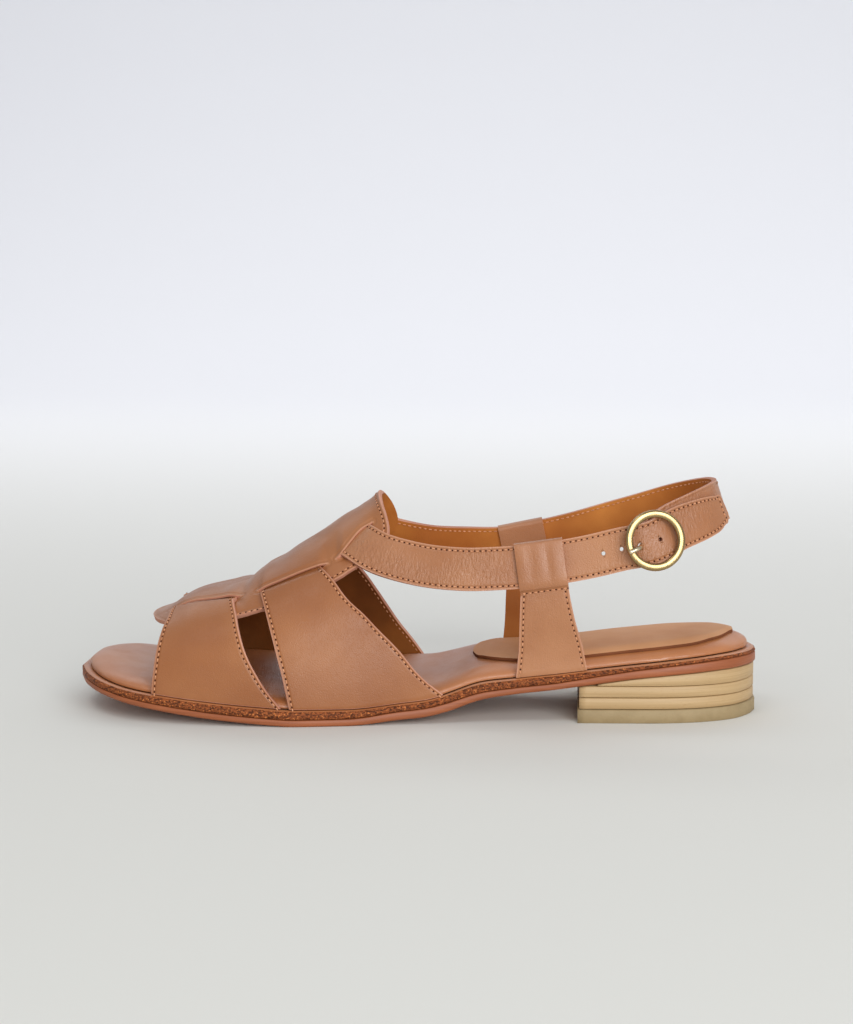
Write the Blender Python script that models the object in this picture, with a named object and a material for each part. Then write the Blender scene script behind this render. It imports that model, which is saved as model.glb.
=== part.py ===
# Fisherman sandal, left shoe, size about EU 38.
# Metres, +Z up. Toe towards -X, heel towards +X, the buckle side towards -Y.
# The origin is on the floor under the middle of the shoe.

import math

import bmesh
import bpy
import numpy as np

# Sole
sole_length = 0.2556
ball_width = 0.091
toe_spring = 0.010
heel_rise = 0.019            # underside of the outsole above the floor at the back
outsole_wall = 0.003
sole_bevel = 0.0008          # rounding of the outsole's lower edge
welt_wall = 0.0036
welt_rim = 0.0032            # width of the rim that shows round the footbed
welt_rim_fall = 0.0007       # the rim's outer edge is bevelled down by this
heel_breast = 0.0614         # front face of the heel, from the middle of the shoe
heel_plinth = 0.0049         # height of the rubber top piece
heel_lift_height = 0.0043
heel_inset = 0.0006          # the lifts stand back from the outsole's edge

# Footbed
footbed_side = 0.0008
footbed_shoulder = 0.0022
footbed_shoulder_reach = 0.0080
footbed_crown = 0.0009
footbed_arch = 0.0036
footbed_cushion = 0.0014     # extra padding under the heel
sock_wall = 0.0010
sock_inset = 0.0034

# Upper
instep_height = 0.0785       # top of the last under the upper end of the saddle
upper_wall = 0.0018
band_bite = 0.0005           # how far joined straps sink into each other
strap_foot_margin = 0.0011   # from the welt's edge to the outside of a strap's foot

# Ankle strap
strap_width = 0.0157
strap_wall = 0.0018
strap_height = 0.079         # middle of the strap above the floor at the back of the heel
hole_diameter = 0.0018
prong_hole_diameter = 0.0030
hole_pitch = 0.0065
hole_depth = 1.9             # length of a hole's cutter, in strap walls
hole_pairs = 2               # holes on each side of the one that the prong comes out of
fold_wall = 0.0009           # one layer of the end that turns round the bar

# Tabs
tab_layer = 0.0013
tab_seam = 0.0060            # joined layers between the loop and the stitched line below it

# Buckle
ring_radius = 0.0096         # to the middle of the wire
ring_wire = 0.0028
bar_wire = 0.0016
prong_wire = 0.0014
bar_play = 0.00015
prong_reach = 0.0045         # from the bar to the hole that the prong comes out of
prong_play = 0.0003          # between the prong and the notch in the strap's turned end

seat_gap = 0.0003            # clearance between pieces that rest on each other

station_steps = 2            # outline stations between two rows of the outline table
strap_steps = 3              # sections between two rows of the ankle path


def named(columns, rows):
    """A small table: each column's name with its values."""
    return {name: [row[i] for row in rows] for i, name in enumerate(columns.split())}


# Outline of welt and outsole. along: share of the length from the toe.
# lateral, medial: shares of half the ball width on the two sides.
foot_outline = named("along lateral medial", [
    (0.0000, 0.120, 0.300),
    (0.0040, 0.200, 0.400),
    (0.0210, 0.460, 0.600),
    (0.0500, 0.700, 0.790),
    (0.0968, 0.860, 0.900),
    (0.1624, 0.945, 0.975),
    (0.2431, 0.990, 1.000),
    (0.3137, 1.000, 0.965),
    (0.3945, 0.945, 0.850),
    (0.4853, 0.845, 0.700),
    (0.5660, 0.765, 0.600),
    (0.6367, 0.715, 0.570),
    (0.7174, 0.685, 0.585),
    (0.7982, 0.665, 0.625),
    (0.8638, 0.640, 0.625),
    (0.9193, 0.565, 0.560),
    (0.9647, 0.420, 0.420),
    (0.9899, 0.225, 0.225),
    (1.0000, 0.060, 0.060),
])

# Side profile of the sole. spring: share of the toe spring, rise: share of the heel rise,
# outsole, welt: shares of their walls, arch, cushion: shares of the footbed's arch and
# of the padding under the heel.
sole_profile = named("along spring rise outsole welt arch cushion", [
    (0.0000, 1.00, 0.000, 0.70, 0.75, 0.00, 0.00),
    (0.0312, 0.93, 0.000, 0.68, 0.80, 0.00, 0.00),
    (0.0917, 0.65, 0.000, 0.70, 0.85, 0.00, 0.00),
    (0.1624, 0.39, 0.000, 0.73, 0.95, 0.25, 0.00),
    (0.2290, 0.20, 0.000, 0.76, 1.00, 0.60, 0.00),
    (0.2936, 0.07, 0.000, 0.78, 1.00, 0.80, 0.00),
    (0.3390, 0.00, 0.000, 0.80, 0.97, 0.85, 0.00),
    (0.4147, 0.00, 0.000, 0.85, 0.90, 1.00, 0.00),
    (0.4853, 0.00, 0.090, 1.00, 0.78, 1.15, 0.00),
    (0.5257, 0.00, 0.140, 1.05, 0.78, 1.15, 0.05),
    (0.5560, 0.00, 0.237, 1.05, 0.90, 1.00, 0.20),
    (0.5963, 0.00, 0.430, 0.90, 1.00, 0.60, 0.50),
    (0.6518, 0.00, 0.558, 0.78, 0.92, 0.30, 0.80),
    (0.7073, 0.00, 0.642, 0.78, 0.90, 0.10, 1.00),
    (0.7427, 0.00, 0.710, 0.85, 0.80, 0.00, 1.00),
    (0.8284, 0.00, 0.874, 1.00, 0.52, 0.00, 1.00),
    (0.9061, 0.00, 0.963, 1.15, 0.48, 0.00, 1.00),
    (0.9697, 0.00, 1.000, 1.25, 0.48, 0.00, 1.00),
    (1.0000, 0.00, 0.985, 1.25, 0.48, 0.00, 1.00),
])

# The last. crown: height of its ridge as a share of the instep height, ridge: place of
# the ridge as a share of half the ball width, fullness: how far its sides fill out.
last_ridge = named("along crown ridge fullness", [
    (0.0413, 0.330, 0.10, 0.060),
    (0.1018, 0.405, 0.10, 0.060),
    (0.1553, 0.472, 0.09, 0.050),
    (0.1826, 0.512, 0.08, 0.045),
    (0.2219, 0.552, 0.08, 0.040),
    (0.2471, 0.586, 0.08, 0.035),
    (0.2683, 0.624, 0.07, 0.030),
    (0.2865, 0.657, 0.07, 0.025),
    (0.3077, 0.695, 0.06, 0.020),
    (0.3309, 0.741, 0.06, 0.012),
    (0.3501, 0.781, 0.05, 0.005),
    (0.3743, 0.831, 0.05, 0.000),
    (0.4015, 0.892, 0.05, -0.005),
    (0.4288, 0.950, 0.05, -0.010),
    (0.4480, 0.990, 0.05, -0.012),
    (0.4954, 1.160, 0.05, -0.015),
    (0.5963, 1.450, 0.03, -0.020),
    (0.7477, 1.600, 0.02, -0.020),
])

# Edges of the two bands. around: -1 at the lateral foot, 0 on the ridge, 1 at the medial
# foot. front, rear: shares of the length.
front_band_edges = named("around front rear", [
    (-1.000, 0.1321, 0.3198),
    (-0.930, 0.1326, 0.3016),
    (-0.830, 0.1341, 0.2830),
    (-0.735, 0.1361, 0.2698),
    (-0.615, 0.1392, 0.2598),
    (-0.500, 0.1432, 0.2532),
    (-0.350, 0.1477, 0.2451),
    (-0.180, 0.1472, 0.2451),
    (0.000, 0.1422, 0.2471),
    (0.180, 0.1412, 0.2451),
    (0.350, 0.1392, 0.2451),
    (0.500, 0.1331, 0.2522),
    (0.615, 0.1281, 0.2588),
    (0.735, 0.1230, 0.2678),
    (0.830, 0.1200, 0.2796),
    (0.930, 0.1165, 0.2952),
    (1.000, 0.1139, 0.3100),
])
second_band_edges = named("around front rear", [
    (-1.000, 0.3309, 0.5479),
    (-0.933, 0.3264, 0.5146),
    (-0.846, 0.3203, 0.4853),
    (-0.766, 0.3137, 0.4606),
    (-0.687, 0.3073, 0.4379),
    (-0.600, 0.3006, 0.4116),
    (-0.500, 0.2931, 0.3922),
    (-0.384, 0.2842, 0.3713),
    (-0.200, 0.2734, 0.3561),
    (0.000, 0.2683, 0.3501),
    (0.200, 0.2734, 0.3541),
    (0.384, 0.2842, 0.3662),
    (0.500, 0.2931, 0.3915),
    (0.600, 0.2996, 0.4116),
    (0.687, 0.3053, 0.4293),
    (0.766, 0.3107, 0.4470),
    (0.846, 0.3163, 0.4663),
    (0.933, 0.3224, 0.4934),
    (1.000, 0.3269, 0.5156),
])

# The saddle. edge, slit: how far round the last its edge and its line of slits lie.
# lift: height of its middle above the last, in walls, where straps pass under it.
# open: 1 where the wall is slit, 0 where it is whole.
saddle_line = named("along edge slit lift open", [
    (0.1018, 0.430, 0.190, 0.00, 0.0),
    (0.1381, 0.455, 0.200, 0.12, 0.0),
    (0.1482, 0.462, 0.208, 0.62, 0.8),
    (0.1644, 0.470, 0.222, 1.00, 1.0),
    (0.1997, 0.484, 0.270, 1.00, 1.0),
    (0.2310, 0.493, 0.305, 1.00, 1.0),
    (0.2451, 0.495, 0.331, 0.62, 0.9),
    (0.2552, 0.499, 0.345, 0.10, 0.0),
    (0.2673, 0.505, 0.360, 0.42, 0.0),
    (0.2815, 0.511, 0.370, 0.95, 0.9),
    (0.2936, 0.513, 0.368, 1.00, 1.0),
    (0.3390, 0.508, 0.372, 1.00, 1.0),
    (0.3642, 0.496, 0.382, 0.92, 1.0),
    (0.3783, 0.490, 0.384, 0.98, 0.0),
    (0.3945, 0.484, 0.378, 1.14, 0.6),
    (0.4046, 0.478, 0.352, 1.17, 1.0),
    (0.4278, 0.466, 0.296, 1.17, 1.0),
    (0.4389, 0.461, 0.288, 1.05, 0.8),
    (0.4470, 0.456, 0.284, 1.05, 0.0),
    (0.4712, 0.430, 0.270, 1.15, 0.0),
])

# Ends of the saddle. across: share of its half width, front, rear: shares of the length.
saddle_ends = named("across front rear", [
    (0.000, 0.1064, 0.4545),
    (0.250, 0.1094, 0.4565),
    (0.500, 0.1180, 0.4606),
    (0.720, 0.1316, 0.4656),
    (0.860, 0.1462, 0.4677),
    (0.950, 0.1624, 0.4631),
    (1.000, 0.1826, 0.4510),
])

# Path of the ankle strap on the last, under the saddle. around: as for the bands.
instep_path = named("along around", [
    (0.5150, -0.615),
    (0.4587, -0.475),
    (0.4211, -0.335),
    (0.3984, -0.170),
    (0.3897, 0.000),
    (0.3984, 0.170),
    (0.4211, 0.335),
    (0.4587, 0.475),
    (0.5150, 0.615),
])

# Path of the ankle strap round the heel. along: share of the length, out: share of half
# the ball width, up: share of the strap height, facing: the way its outside looks, in
# degrees from the heel, lean: how far it looks upwards, in degrees.
lateral_path = named("along out up facing lean", [
    (0.9425, 0.000, 1.000, 0, 18),
    (0.9331, -0.231, 0.995, -28, 18),
    (0.9073, -0.429, 0.968, -52, 16),
    (0.8709, -0.571, 0.921, -62, 13),
    (0.8396, -0.651, 0.861, -69, 11),
    (0.7986, -0.688, 0.822, -78, 9),
    (0.7536, -0.708, 0.782, -86, 8),
    (0.6870, -0.710, 0.743, -91, 7),
    (0.6284, -0.699, 0.723, -92, 10),
    (0.5736, -0.677, 0.714, -93, 14),
])
medial_path = named("along out up facing lean", [
    (0.5736, 0.666, 0.708, 93, 14),
    (0.6205, 0.682, 0.710, 92, 10),
    (0.6570, 0.688, 0.727, 91, 7),
    (0.7301, 0.685, 0.784, 88, 8),
    (0.7888, 0.655, 0.842, 80, 9),
    (0.8357, 0.604, 0.890, 70, 11),
    (0.8787, 0.525, 0.938, 60, 13),
    (0.9112, 0.395, 0.972, 50, 16),
    (0.9339, 0.220, 0.995, 28, 18),
])
path_rows = len(lateral_path["along"]) + len(instep_path["along"]) + len(medial_path["along"])
ring_row = 4
lateral_tab_row = 7
medial_tab_row = len(lateral_path["along"]) + len(instep_path["along"]) + 2

# The strap along that path, from its free end to its turned end at the bar. row: place on
# the path, lift: height of its inner face in strap walls, drop: how far it lies below the
# path, in strap widths, width: share of the strap width, wall: share of the strap wall.
strap_run = named("row lift drop width wall", [
    (0.850, 1.17, 0.360, 0.16, 1.0),
    (1.000, 1.17, 0.150, 0.58, 1.0),
    (1.300, 1.17, 0.155, 0.73, 1.0),
    (1.600, 1.17, 0.168, 0.85, 1.0),
    (2.000, 1.17, 0.158, 0.93, 1.0),
    (3.000, 1.45, 0.110, 1.00, 1.0),
    (3.750, 2.22, 0.070, 1.00, 1.0),
    (4.250, 2.22, 0.060, 1.00, 1.0),
    (5.000, 1.10, 0.020, 1.00, 1.0),
    (6.000, 0.20, 0.000, 1.00, 1.0),
    (7.000, 0.00, 0.000, 1.00, 1.0),
    (9.000, 0.40, 0.000, 1.00, 1.0),
    (10.00, 1.00, 0.000, 1.00, 1.0),
    (11.00, 1.17, 0.000, 1.00, 1.0),
    (11.65, 1.05, 0.000, 1.00, 1.0),
    (12.40, 0.20, 0.000, 1.00, 1.0),
    (13.00, 0.00, 0.000, 1.00, 1.0),
    (15.00, 0.00, 0.000, 1.00, 1.0),
    (15.60, 0.20, 0.000, 1.00, 1.0),
    (16.35, 1.05, 0.000, 1.00, 1.0),
    (17.00, 1.17, 0.000, 1.00, 1.0),
    (18.00, 1.00, 0.000, 1.00, 1.0),
    (19.00, 0.40, 0.000, 1.00, 1.0),
    (21.00, 0.00, 0.000, 1.00, 1.0),
    (30.90, 0.00, 0.000, 1.00, 1.0),
    (31.60, 0.00, 0.000, 1.00, 1.0),
    (31.82, 0.00, 0.020, 0.98, 2.05),
    (32.20, 0.00, 0.040, 0.96, 2.05),
])

# Edges of the tabs, from the loop's lower end down to the foot. down: share of the way,
# front, rear: distances from the loop's middle as shares of the strap width.
tab_edges = named("down front rear", [
    (0.00, 0.56, 0.56),
    (0.35, 0.58, 0.70),
    (0.70, 0.60, 0.88),
    (1.00, 0.66, 0.99),
])

# Outline of the heel sock. along: share of its length from the front, lateral, medial:
# shares of the footbed's half width there.
sock_outline = named("along lateral medial", [
    (0.000, 0.06, 0.20),
    (0.012, 0.26, 0.40),
    (0.050, 0.50, 0.62),
    (0.120, 0.76, 0.82),
    (0.220, 0.93, 0.95),
    (0.340, 1.00, 1.00),
    (1.000, 1.00, 1.00),
])
sock_front = 0.585           # share of the sole's length

colours = {
    "leather": (0.42, 0.19, 0.095, 0.50, 0.0),
    "footbed_leather": (0.40, 0.20, 0.11, 0.48, 0.0),
    "fibre": (0.16, 0.055, 0.022, 0.75, 0.0),
    "sole_leather": (0.48, 0.15, 0.07, 0.60, 0.0),
    "stacked_wood": (0.62, 0.42, 0.21, 0.55, 0.0),
    "rubber": (0.50, 0.38, 0.22, 0.70, 0.0),
    "brass": (0.83, 0.70, 0.42, 0.22, 1.0),
}


def read(table, column, at):
    """Smooth value of a column at a value of the table's first column."""
    xs = next(iter(table.values()))
    ys = table[column]
    last = len(xs) - 1
    at = min(max(at, xs[0]), xs[last])
    i = 0
    while i < last - 1 and at > xs[i + 1]:
        i += 1

    def rate(k):
        return (ys[k + 1] - ys[k]) / (xs[k + 1] - xs[k])

    def slope(k):
        if k == 0:
            return rate(0)
        if k == last:
            return rate(last - 1)
        before = rate(k - 1)
        after = rate(k)
        if before * after <= 0:
            return 0.0
        span_before = xs[k] - xs[k - 1]
        span_after = xs[k + 1] - xs[k]
        return (before * span_after + after * span_before) / (span_before + span_after)

    span = xs[i + 1] - xs[i]
    t = (at - xs[i]) / span
    start = (1 + 2 * t) * (1 - t) ** 2 * ys[i] + t * (1 - t) ** 2 * span * slope(i)
    end = t * t * (3 - 2 * t) * ys[i + 1] + t * t * (t - 1) * span * slope(i + 1)
    return start + end


def ease(t):
    """0 to 1 with a soft start and end."""
    t = min(max(t, 0.0), 1.0)
    return t * t * (3 - 2 * t)


def unit(vector):
    return vector / np.linalg.norm(vector)


# Sole heights

def place(along):
    return (along - 0.5) * sole_length


def share(x):
    return x / sole_length + 0.5


def underside(x):
    along = share(x)
    return toe_spring * read(sole_profile, "spring", along) + heel_rise * read(sole_profile, "rise", along)


def outsole_top(x):
    return underside(x) + outsole_wall * read(sole_profile, "outsole", share(x))


def welt_top(x):
    return outsole_top(x) + welt_wall * read(sole_profile, "welt", share(x))


def half_width(x, side):
    return ball_width / 2 * read(foot_outline, "lateral" if side < 0 else "medial", share(x))


# Objects

def material(name):
    found = bpy.data.materials.get(name)
    if found:
        return found
    made = bpy.data.materials.new(name)
    made.use_nodes = True
    red, green, blue, roughness, metallic = colours[name]
    shader = made.node_tree.nodes["Principled BSDF"]
    shader.inputs["Base Color"].default_value = (red, green, blue, 1)
    shader.inputs["Roughness"].default_value = roughness
    shader.inputs["Metallic"].default_value = metallic
    made.diffuse_color = (red, green, blue, 1)
    return made


def add_mesh(name, points, faces, finish):
    """A mesh object from points and faces, its faces turned outwards."""
    mesh = bpy.data.meshes.new(name)
    mesh.from_pydata([tuple(p) for p in points], [], faces)
    form = bmesh.new()
    form.from_mesh(mesh)
    bmesh.ops.recalc_face_normals(form, faces=form.faces)
    form.to_mesh(mesh)
    form.free()
    made = bpy.data.objects.new(name, mesh)
    part_collection.objects.link(made)
    if finish:
        mesh.materials.append(material(finish))
    return made


def as_cutter(made):
    """Moves an object to the cutters, which only cut or join."""
    part_collection.objects.unlink(made)
    cutter_collection.objects.link(made)
    made.hide_render = True
    made.display_type = "WIRE"
    return made


def combine(target, tool, operation):
    step = target.modifiers.new(tool.name, "BOOLEAN")
    step.operation = operation
    step.object = tool
    step.solver = "EXACT"


def stack(name, rings, finish):
    """A solid between rings of paired side points: rings[k] is (lateral, medial), each a
    list of points from toe to heel."""
    count = len(rings[0][0])
    points = []
    loops = []
    for lateral, medial in rings:
        first = len(points)
        points += list(lateral) + list(medial)
        loops.append([first + i for i in range(count)] + [first + 2 * count - 1 - i for i in range(count)])
    faces = []
    for low, high in zip(loops, loops[1:]):
        for i in range(2 * count):
            j = (i + 1) % (2 * count)
            faces.append((low[i], low[j], high[j], high[i]))
    for i in range(count - 1):
        faces.append((i, i + 1, count + i + 1, count + i))
    first = len(points) - 2 * count
    for i in range(count - 1):
        faces.append((first + i, first + i + 1, first + count + i + 1, first + count + i))
    return add_mesh(name, points, faces, finish)


def slab(name, inner, outer, finish):
    """A wall between two grids of points, closed along its four edges."""
    rows = len(inner)
    columns = len(inner[0])
    points = [p for row in inner for p in row] + [p for row in outer for p in row]
    step = rows * columns

    def at(r, c, side):
        return side * step + r * columns + c

    faces = []
    for r in range(rows - 1):
        for c in range(columns - 1):
            for side in (0, 1):
                faces.append((at(r, c, side), at(r, c + 1, side), at(r + 1, c + 1, side), at(r + 1, c, side)))
    for r in range(rows - 1):
        for c in (0, columns - 1):
            faces.append((at(r, c, 0), at(r + 1, c, 0), at(r + 1, c, 1), at(r, c, 1)))
    for c in range(columns - 1):
        for r in (0, rows - 1):
            faces.append((at(r, c, 0), at(r, c + 1, 0), at(r, c + 1, 1), at(r, c, 1)))
    return add_mesh(name, points, faces, finish)


# Sole pieces

def outline(start=0.0, inset=0.0):
    """Paired edge points of the foot, from a start station to the heel, moved inwards."""
    rows = len(foot_outline["along"])
    places = named("row along lateral medial", [
        (i, foot_outline["along"][i], foot_outline["lateral"][i], foot_outline["medial"][i])
        for i in range(rows)])
    lateral = []
    medial = []
    if start > 0:
        x = place(start)
        lateral.append((x, -half_width(x, -1)))
        medial.append((x, half_width(x, 1)))
    for i in range((rows - 1) * station_steps + 1):
        at = i / station_steps
        along = read(places, "along", at)
        if along > start + 0.01 or start == 0:
            lateral.append((place(along), -ball_width / 2 * read(places, "lateral", at)))
            medial.append((place(along), ball_width / 2 * read(places, "medial", at)))
    loop = np.array(lateral + medial[::-1])
    ahead = np.roll(loop, -1, 0) - loop
    behind = loop - np.roll(loop, 1, 0)
    ahead /= np.linalg.norm(ahead, axis=1)[:, None]
    behind /= np.linalg.norm(behind, axis=1)[:, None]
    inward = np.stack([-(ahead + behind)[:, 1], (ahead + behind)[:, 0]], 1)
    inward /= np.linalg.norm(inward, axis=1)[:, None]
    bend = np.sqrt(np.clip((1 + (ahead * behind).sum(1)) / 2, 0.3, 1))
    moved = loop + inward * (inset / bend)[:, None]
    return moved[:len(lateral)], moved[len(lateral):][::-1]


def ring(height, start=0.0, inset=0.0):
    """An outline at the height that a function of x and y gives."""
    lateral, medial = outline(start, inset)
    sides = []
    for side in (lateral, medial):
        sides.append([np.array([x, y, height(x, y)]) for x, y in side])
    return tuple(sides)


def edge_distance(x, y):
    """Distance from a point to the footbed's edge."""
    start = footbed_loop
    end = np.roll(footbed_loop, -1, 0)
    along = end - start
    t = ((np.array([x, y]) - start) * along).sum(1) / (along ** 2).sum(1)
    nearest = start + along * np.clip(t, 0, 1)[:, None]
    return np.min(np.linalg.norm(nearest - np.array([x, y]), axis=1))


def footbed_top(x, y):
    """Top of the footbed: a rounded shoulder, a low crown and a raised medial arch."""
    in_share = min(edge_distance(x, y) / footbed_shoulder_reach, 1.0)
    shoulder = footbed_shoulder * math.sqrt(1 - (1 - in_share) ** 2)
    side = -1 if y < 0 else 1
    across = min(abs(y) / (half_width(x, side) - welt_rim), 1.0)
    crown = footbed_crown * (1 - across ** 2)
    arch = footbed_arch * read(sole_profile, "arch", share(x)) * ease(0.5 + 0.5 * side * across) * in_share
    cushion = footbed_cushion * read(sole_profile, "cushion", share(x)) * in_share
    return welt_top(x) + seat_gap + footbed_side + shoulder + crown + arch + cushion


def make_sole():
    outsole = [
        ring(lambda x, y: underside(x), inset=sole_bevel),
        ring(lambda x, y: underside(x) + sole_bevel, inset=0.0),
        ring(lambda x, y: outsole_top(x), inset=0.0),
    ]
    stack("outsole", outsole, "sole_leather")
    welt = [
        ring(lambda x, y: outsole_top(x) + seat_gap),
        ring(lambda x, y: welt_top(x) - welt_rim_fall),
        ring(lambda x, y: welt_top(x), inset=0.4 * welt_rim),
    ]
    stack("welt", welt, "fibre")


def sheet_rows(inset, rows, shares, start=None, shape=None):
    """Rows of places across the foot, closer together at both ends. inset: from the foot's
    edge, shares: places across, -1 to 1, shape: table that narrows the sheet."""
    lateral_edge, medial_edge = outline(inset=inset)
    front = max(lateral_edge[0][0], medial_edge[0][0]) if start is None else place(start)
    back = min(lateral_edge[-1][0], medial_edge[-1][0])
    found = []
    for i in range(rows):
        at = 0.5 - 0.5 * math.cos(math.pi * i / (rows - 1))
        x = front + (back - front) * at
        lateral = np.interp(x, lateral_edge[:, 0], lateral_edge[:, 1])
        medial = np.interp(x, medial_edge[:, 0], medial_edge[:, 1])
        if shape:
            lateral *= read(shape, "lateral", at)
            medial *= read(shape, "medial", at)
        middle = 0.5 * (lateral + medial)
        reach = 0.5 * (medial - lateral)
        found.append([(x, middle + reach * s) for s in shares])
    return found


def make_footbed():
    rows = sheet_rows(welt_rim, 31, (-1, -0.97, -0.90, -0.76, -0.4, 0, 0.4, 0.76, 0.90, 0.97, 1))
    under = [[np.array([x, y, welt_top(x) + seat_gap]) for x, y in row] for row in rows]
    over = [[np.array([x, y, footbed_top(x, y)]) for x, y in row] for row in rows]
    slab("footbed", under, over, "footbed_leather")


def make_sock():
    """The pad on the footbed's heel, a thin sheet with a rounded front."""
    shares = (-1, -0.88, -0.76, -0.4, 0, 0.4, 0.76, 0.88, 1)
    rows = sheet_rows(welt_rim + sock_inset, 22, shares, sock_front, sock_outline)
    under = [[np.array([x, y, footbed_top(x, y) + seat_gap]) for x, y in row] for row in rows]
    over = [[p + np.array([0, 0, sock_wall]) for p in row] for row in under]
    slab("heel_sock", under, over, "footbed_leather")


def make_heel():
    """Top piece, two level lifts and a wedge under the outsole."""
    breast = share(heel_breast)
    levels = [0.0, heel_plinth]
    for k in range(2):
        levels.append(levels[-1] + heel_lift_height)
    names = ["heel_top_piece", "heel_lift_3", "heel_lift_2"]
    for name, low, high in zip(names, levels, levels[1:]):
        bottom = low if low == 0 else low + seat_gap
        finish = "rubber" if low == 0 else "stacked_wood"
        proud = 0.0 if low == 0 else heel_inset
        rings = [
            ring(lambda x, y: bottom, start=breast, inset=proud),
            ring(lambda x, y: min(high, underside(x) - seat_gap), start=breast, inset=proud),
        ]
        stack(name, rings, finish)
    base = levels[-1] + seat_gap
    wedge_start = breast
    while underside(place(wedge_start)) - seat_gap < base + 0.0004:
        wedge_start += 0.002
    rings = [
        ring(lambda x, y: base, start=wedge_start, inset=heel_inset),
        ring(lambda x, y: underside(x) - seat_gap, start=wedge_start, inset=heel_inset),
    ]
    stack("heel_lift_1", rings, "stacked_wood")


# The last

def last_point(x, around):
    """A point of the last's surface: station x, and how far round from the ridge."""
    along = share(x)
    side = -1 if around < 0 else 1
    turn = abs(around) * math.pi / 2
    full = read(last_ridge, "fullness", along) * math.sin(2 * turn) ** 2
    ridge = ball_width / 2 * read(last_ridge, "ridge", along)
    foot = half_width(x, side) - strap_foot_margin - upper_wall
    low = welt_top(x) + seat_gap
    high = instep_height * read(last_ridge, "crown", along)
    reach = foot - side * ridge
    return np.array([
        x,
        ridge + side * reach * (math.sin(turn) + full),
        low + (high - low) * (math.cos(turn) + full)])


def last_normal(x, around):
    step = 0.0001
    along = last_point(x + step, around) - last_point(x - step, around)
    across = last_point(x, min(around + 0.001, 1)) - last_point(x, max(around - 0.001, -1))
    return unit(np.cross(along, across))


def skin(x, around, lift):
    """A point above the last, along its normal."""
    return last_point(x, around) + lift * last_normal(x, around)


# Upper

def slit_at(x):
    return read(saddle_line, "slit", share(x))


def band_lift(x, around):
    """Height of a band's inner face: on the last, over the saddle's edge strip, and back
    on the last where it has dived through the slit."""
    dive = ease((abs(around) - slit_at(x) + 0.005) / 0.075)
    drape = 1 - ease((abs(around) - read(saddle_line, "edge", share(x)) - 0.01) / 0.10)
    return (upper_wall - band_bite) * dive * drape


def band(name, edges):
    steps = [-1, -0.95, -0.87, -0.79, -0.71, -0.65, -0.60, -0.55, -0.50, -0.46, -0.42, -0.38, -0.34,
             -0.30, -0.26, -0.22, -0.17, -0.10]
    steps = steps + [0] + [-s for s in reversed(steps)]
    inner = []
    outer = []
    for around in steps:
        front = place(read(edges, "front", around))
        rear = place(read(edges, "rear", around))
        xs = [front + (rear - front) * k / 4 for k in range(5)]
        inner.append([skin(x, around, band_lift(x, around)) for x in xs])
        outer.append([skin(x, around, band_lift(x, around) + upper_wall) for x in xs])
    return slab(name, inner, outer, "leather")


def saddle_lift(x, around, inside):
    """Height of the saddle's inner face. inside: 1 for its middle, 0 for its edge strips."""
    along = share(x)
    edge = read(saddle_line, "edge", along)
    middle = read(saddle_line, "lift", along) * (upper_wall - band_bite)
    opened = read(saddle_line, "open", along)
    soft = middle * (1 - ease((abs(around) / edge - 0.35) / 0.6))
    return opened * inside * middle + (1 - opened) * soft


def make_saddle():
    outer_shares = [1.0, 0.72, 0.40, 0.0]
    inner_shares = [1.0, 0.80, 0.55, 0.28]
    slit_cut = 0.012
    inner = []
    outer = []
    rows = 42
    for r in range(rows):
        at = r / (rows - 1)
        inner_row = []
        outer_row = []

        def put(x, around, inside):
            lift = saddle_lift(x, around, inside)
            inner_row.append(skin(x, around, lift))
            outer_row.append(skin(x, around, lift + upper_wall))

        def station(across):
            front = place(read(saddle_ends, "front", across))
            rear = place(read(saddle_ends, "rear", across))
            return front + (rear - front) * at

        for side in (-1, 1):
            columns = []
            middle_x = station(0.5)
            edge = read(saddle_line, "edge", share(middle_x))
            slit = slit_at(middle_x)
            for s in outer_shares:
                columns.append((slit + (edge - slit) * s, 0))
            for s in inner_shares:
                columns.append(((slit - slit_cut) * s, 1))
            if side > 0:
                columns = columns[::-1]
                put(station(0.0), 0.0, 1)
            for around, inside in columns:
                put(station(around / edge), side * around, inside)
        inner.append(inner_row)
        outer.append(outer_row)
    return slab("upper", inner, outer, "leather")


# Ankle strap

def path_points():
    """Points and outward directions of the closed path round foot and heel."""
    points = []
    outward = []

    def add_ankle(table):
        for along, out, up, facing, lean in zip(*table.values()):
            points.append(np.array([place(along), out * ball_width / 2, up * strap_height]))
            turn = math.radians(facing)
            rise = math.radians(lean)
            outward.append(np.array([
                math.cos(turn) * math.cos(rise), math.sin(turn) * math.cos(rise), math.sin(rise)]))

    add_ankle(lateral_path)
    for along, around in zip(*instep_path.values()):
        points.append(last_point(place(along), around))
        outward.append(last_normal(place(along), around))
    add_ankle(medial_path)
    return np.array(points), np.array(outward)


def along_loop(values, at):
    """Catmull-Rom value on a closed loop of rows."""
    count = len(values)
    i = int(math.floor(at))
    t = at - i
    a, b, c, d = (values[(i + k) % count] for k in (-1, 0, 1, 2))
    return 0.5 * (2 * b + (c - a) * t + (2 * a - 5 * b + 4 * c - d) * t * t + (3 * b - a - 3 * c + d) * t ** 3)


def path_frame(at):
    """Place on the path, direction of travel, outward and upward directions."""
    point = along_loop(path[0], at)
    travel = unit(along_loop(path[0], at + 0.02) - along_loop(path[0], at - 0.02))
    out = along_loop(path[1], at)
    out = unit(out - travel * np.dot(out, travel))
    return point, travel, out, np.cross(travel, out)


def strap_row(at):
    """The strap's own place at a row: its middle on the inner face, and its frame."""
    point, travel, out, up = path_frame(at)
    lift = strap_wall * read(strap_run, "lift", at)
    drop = strap_width * read(strap_run, "drop", at)
    return point + out * lift - up * drop, travel, out, up


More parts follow.
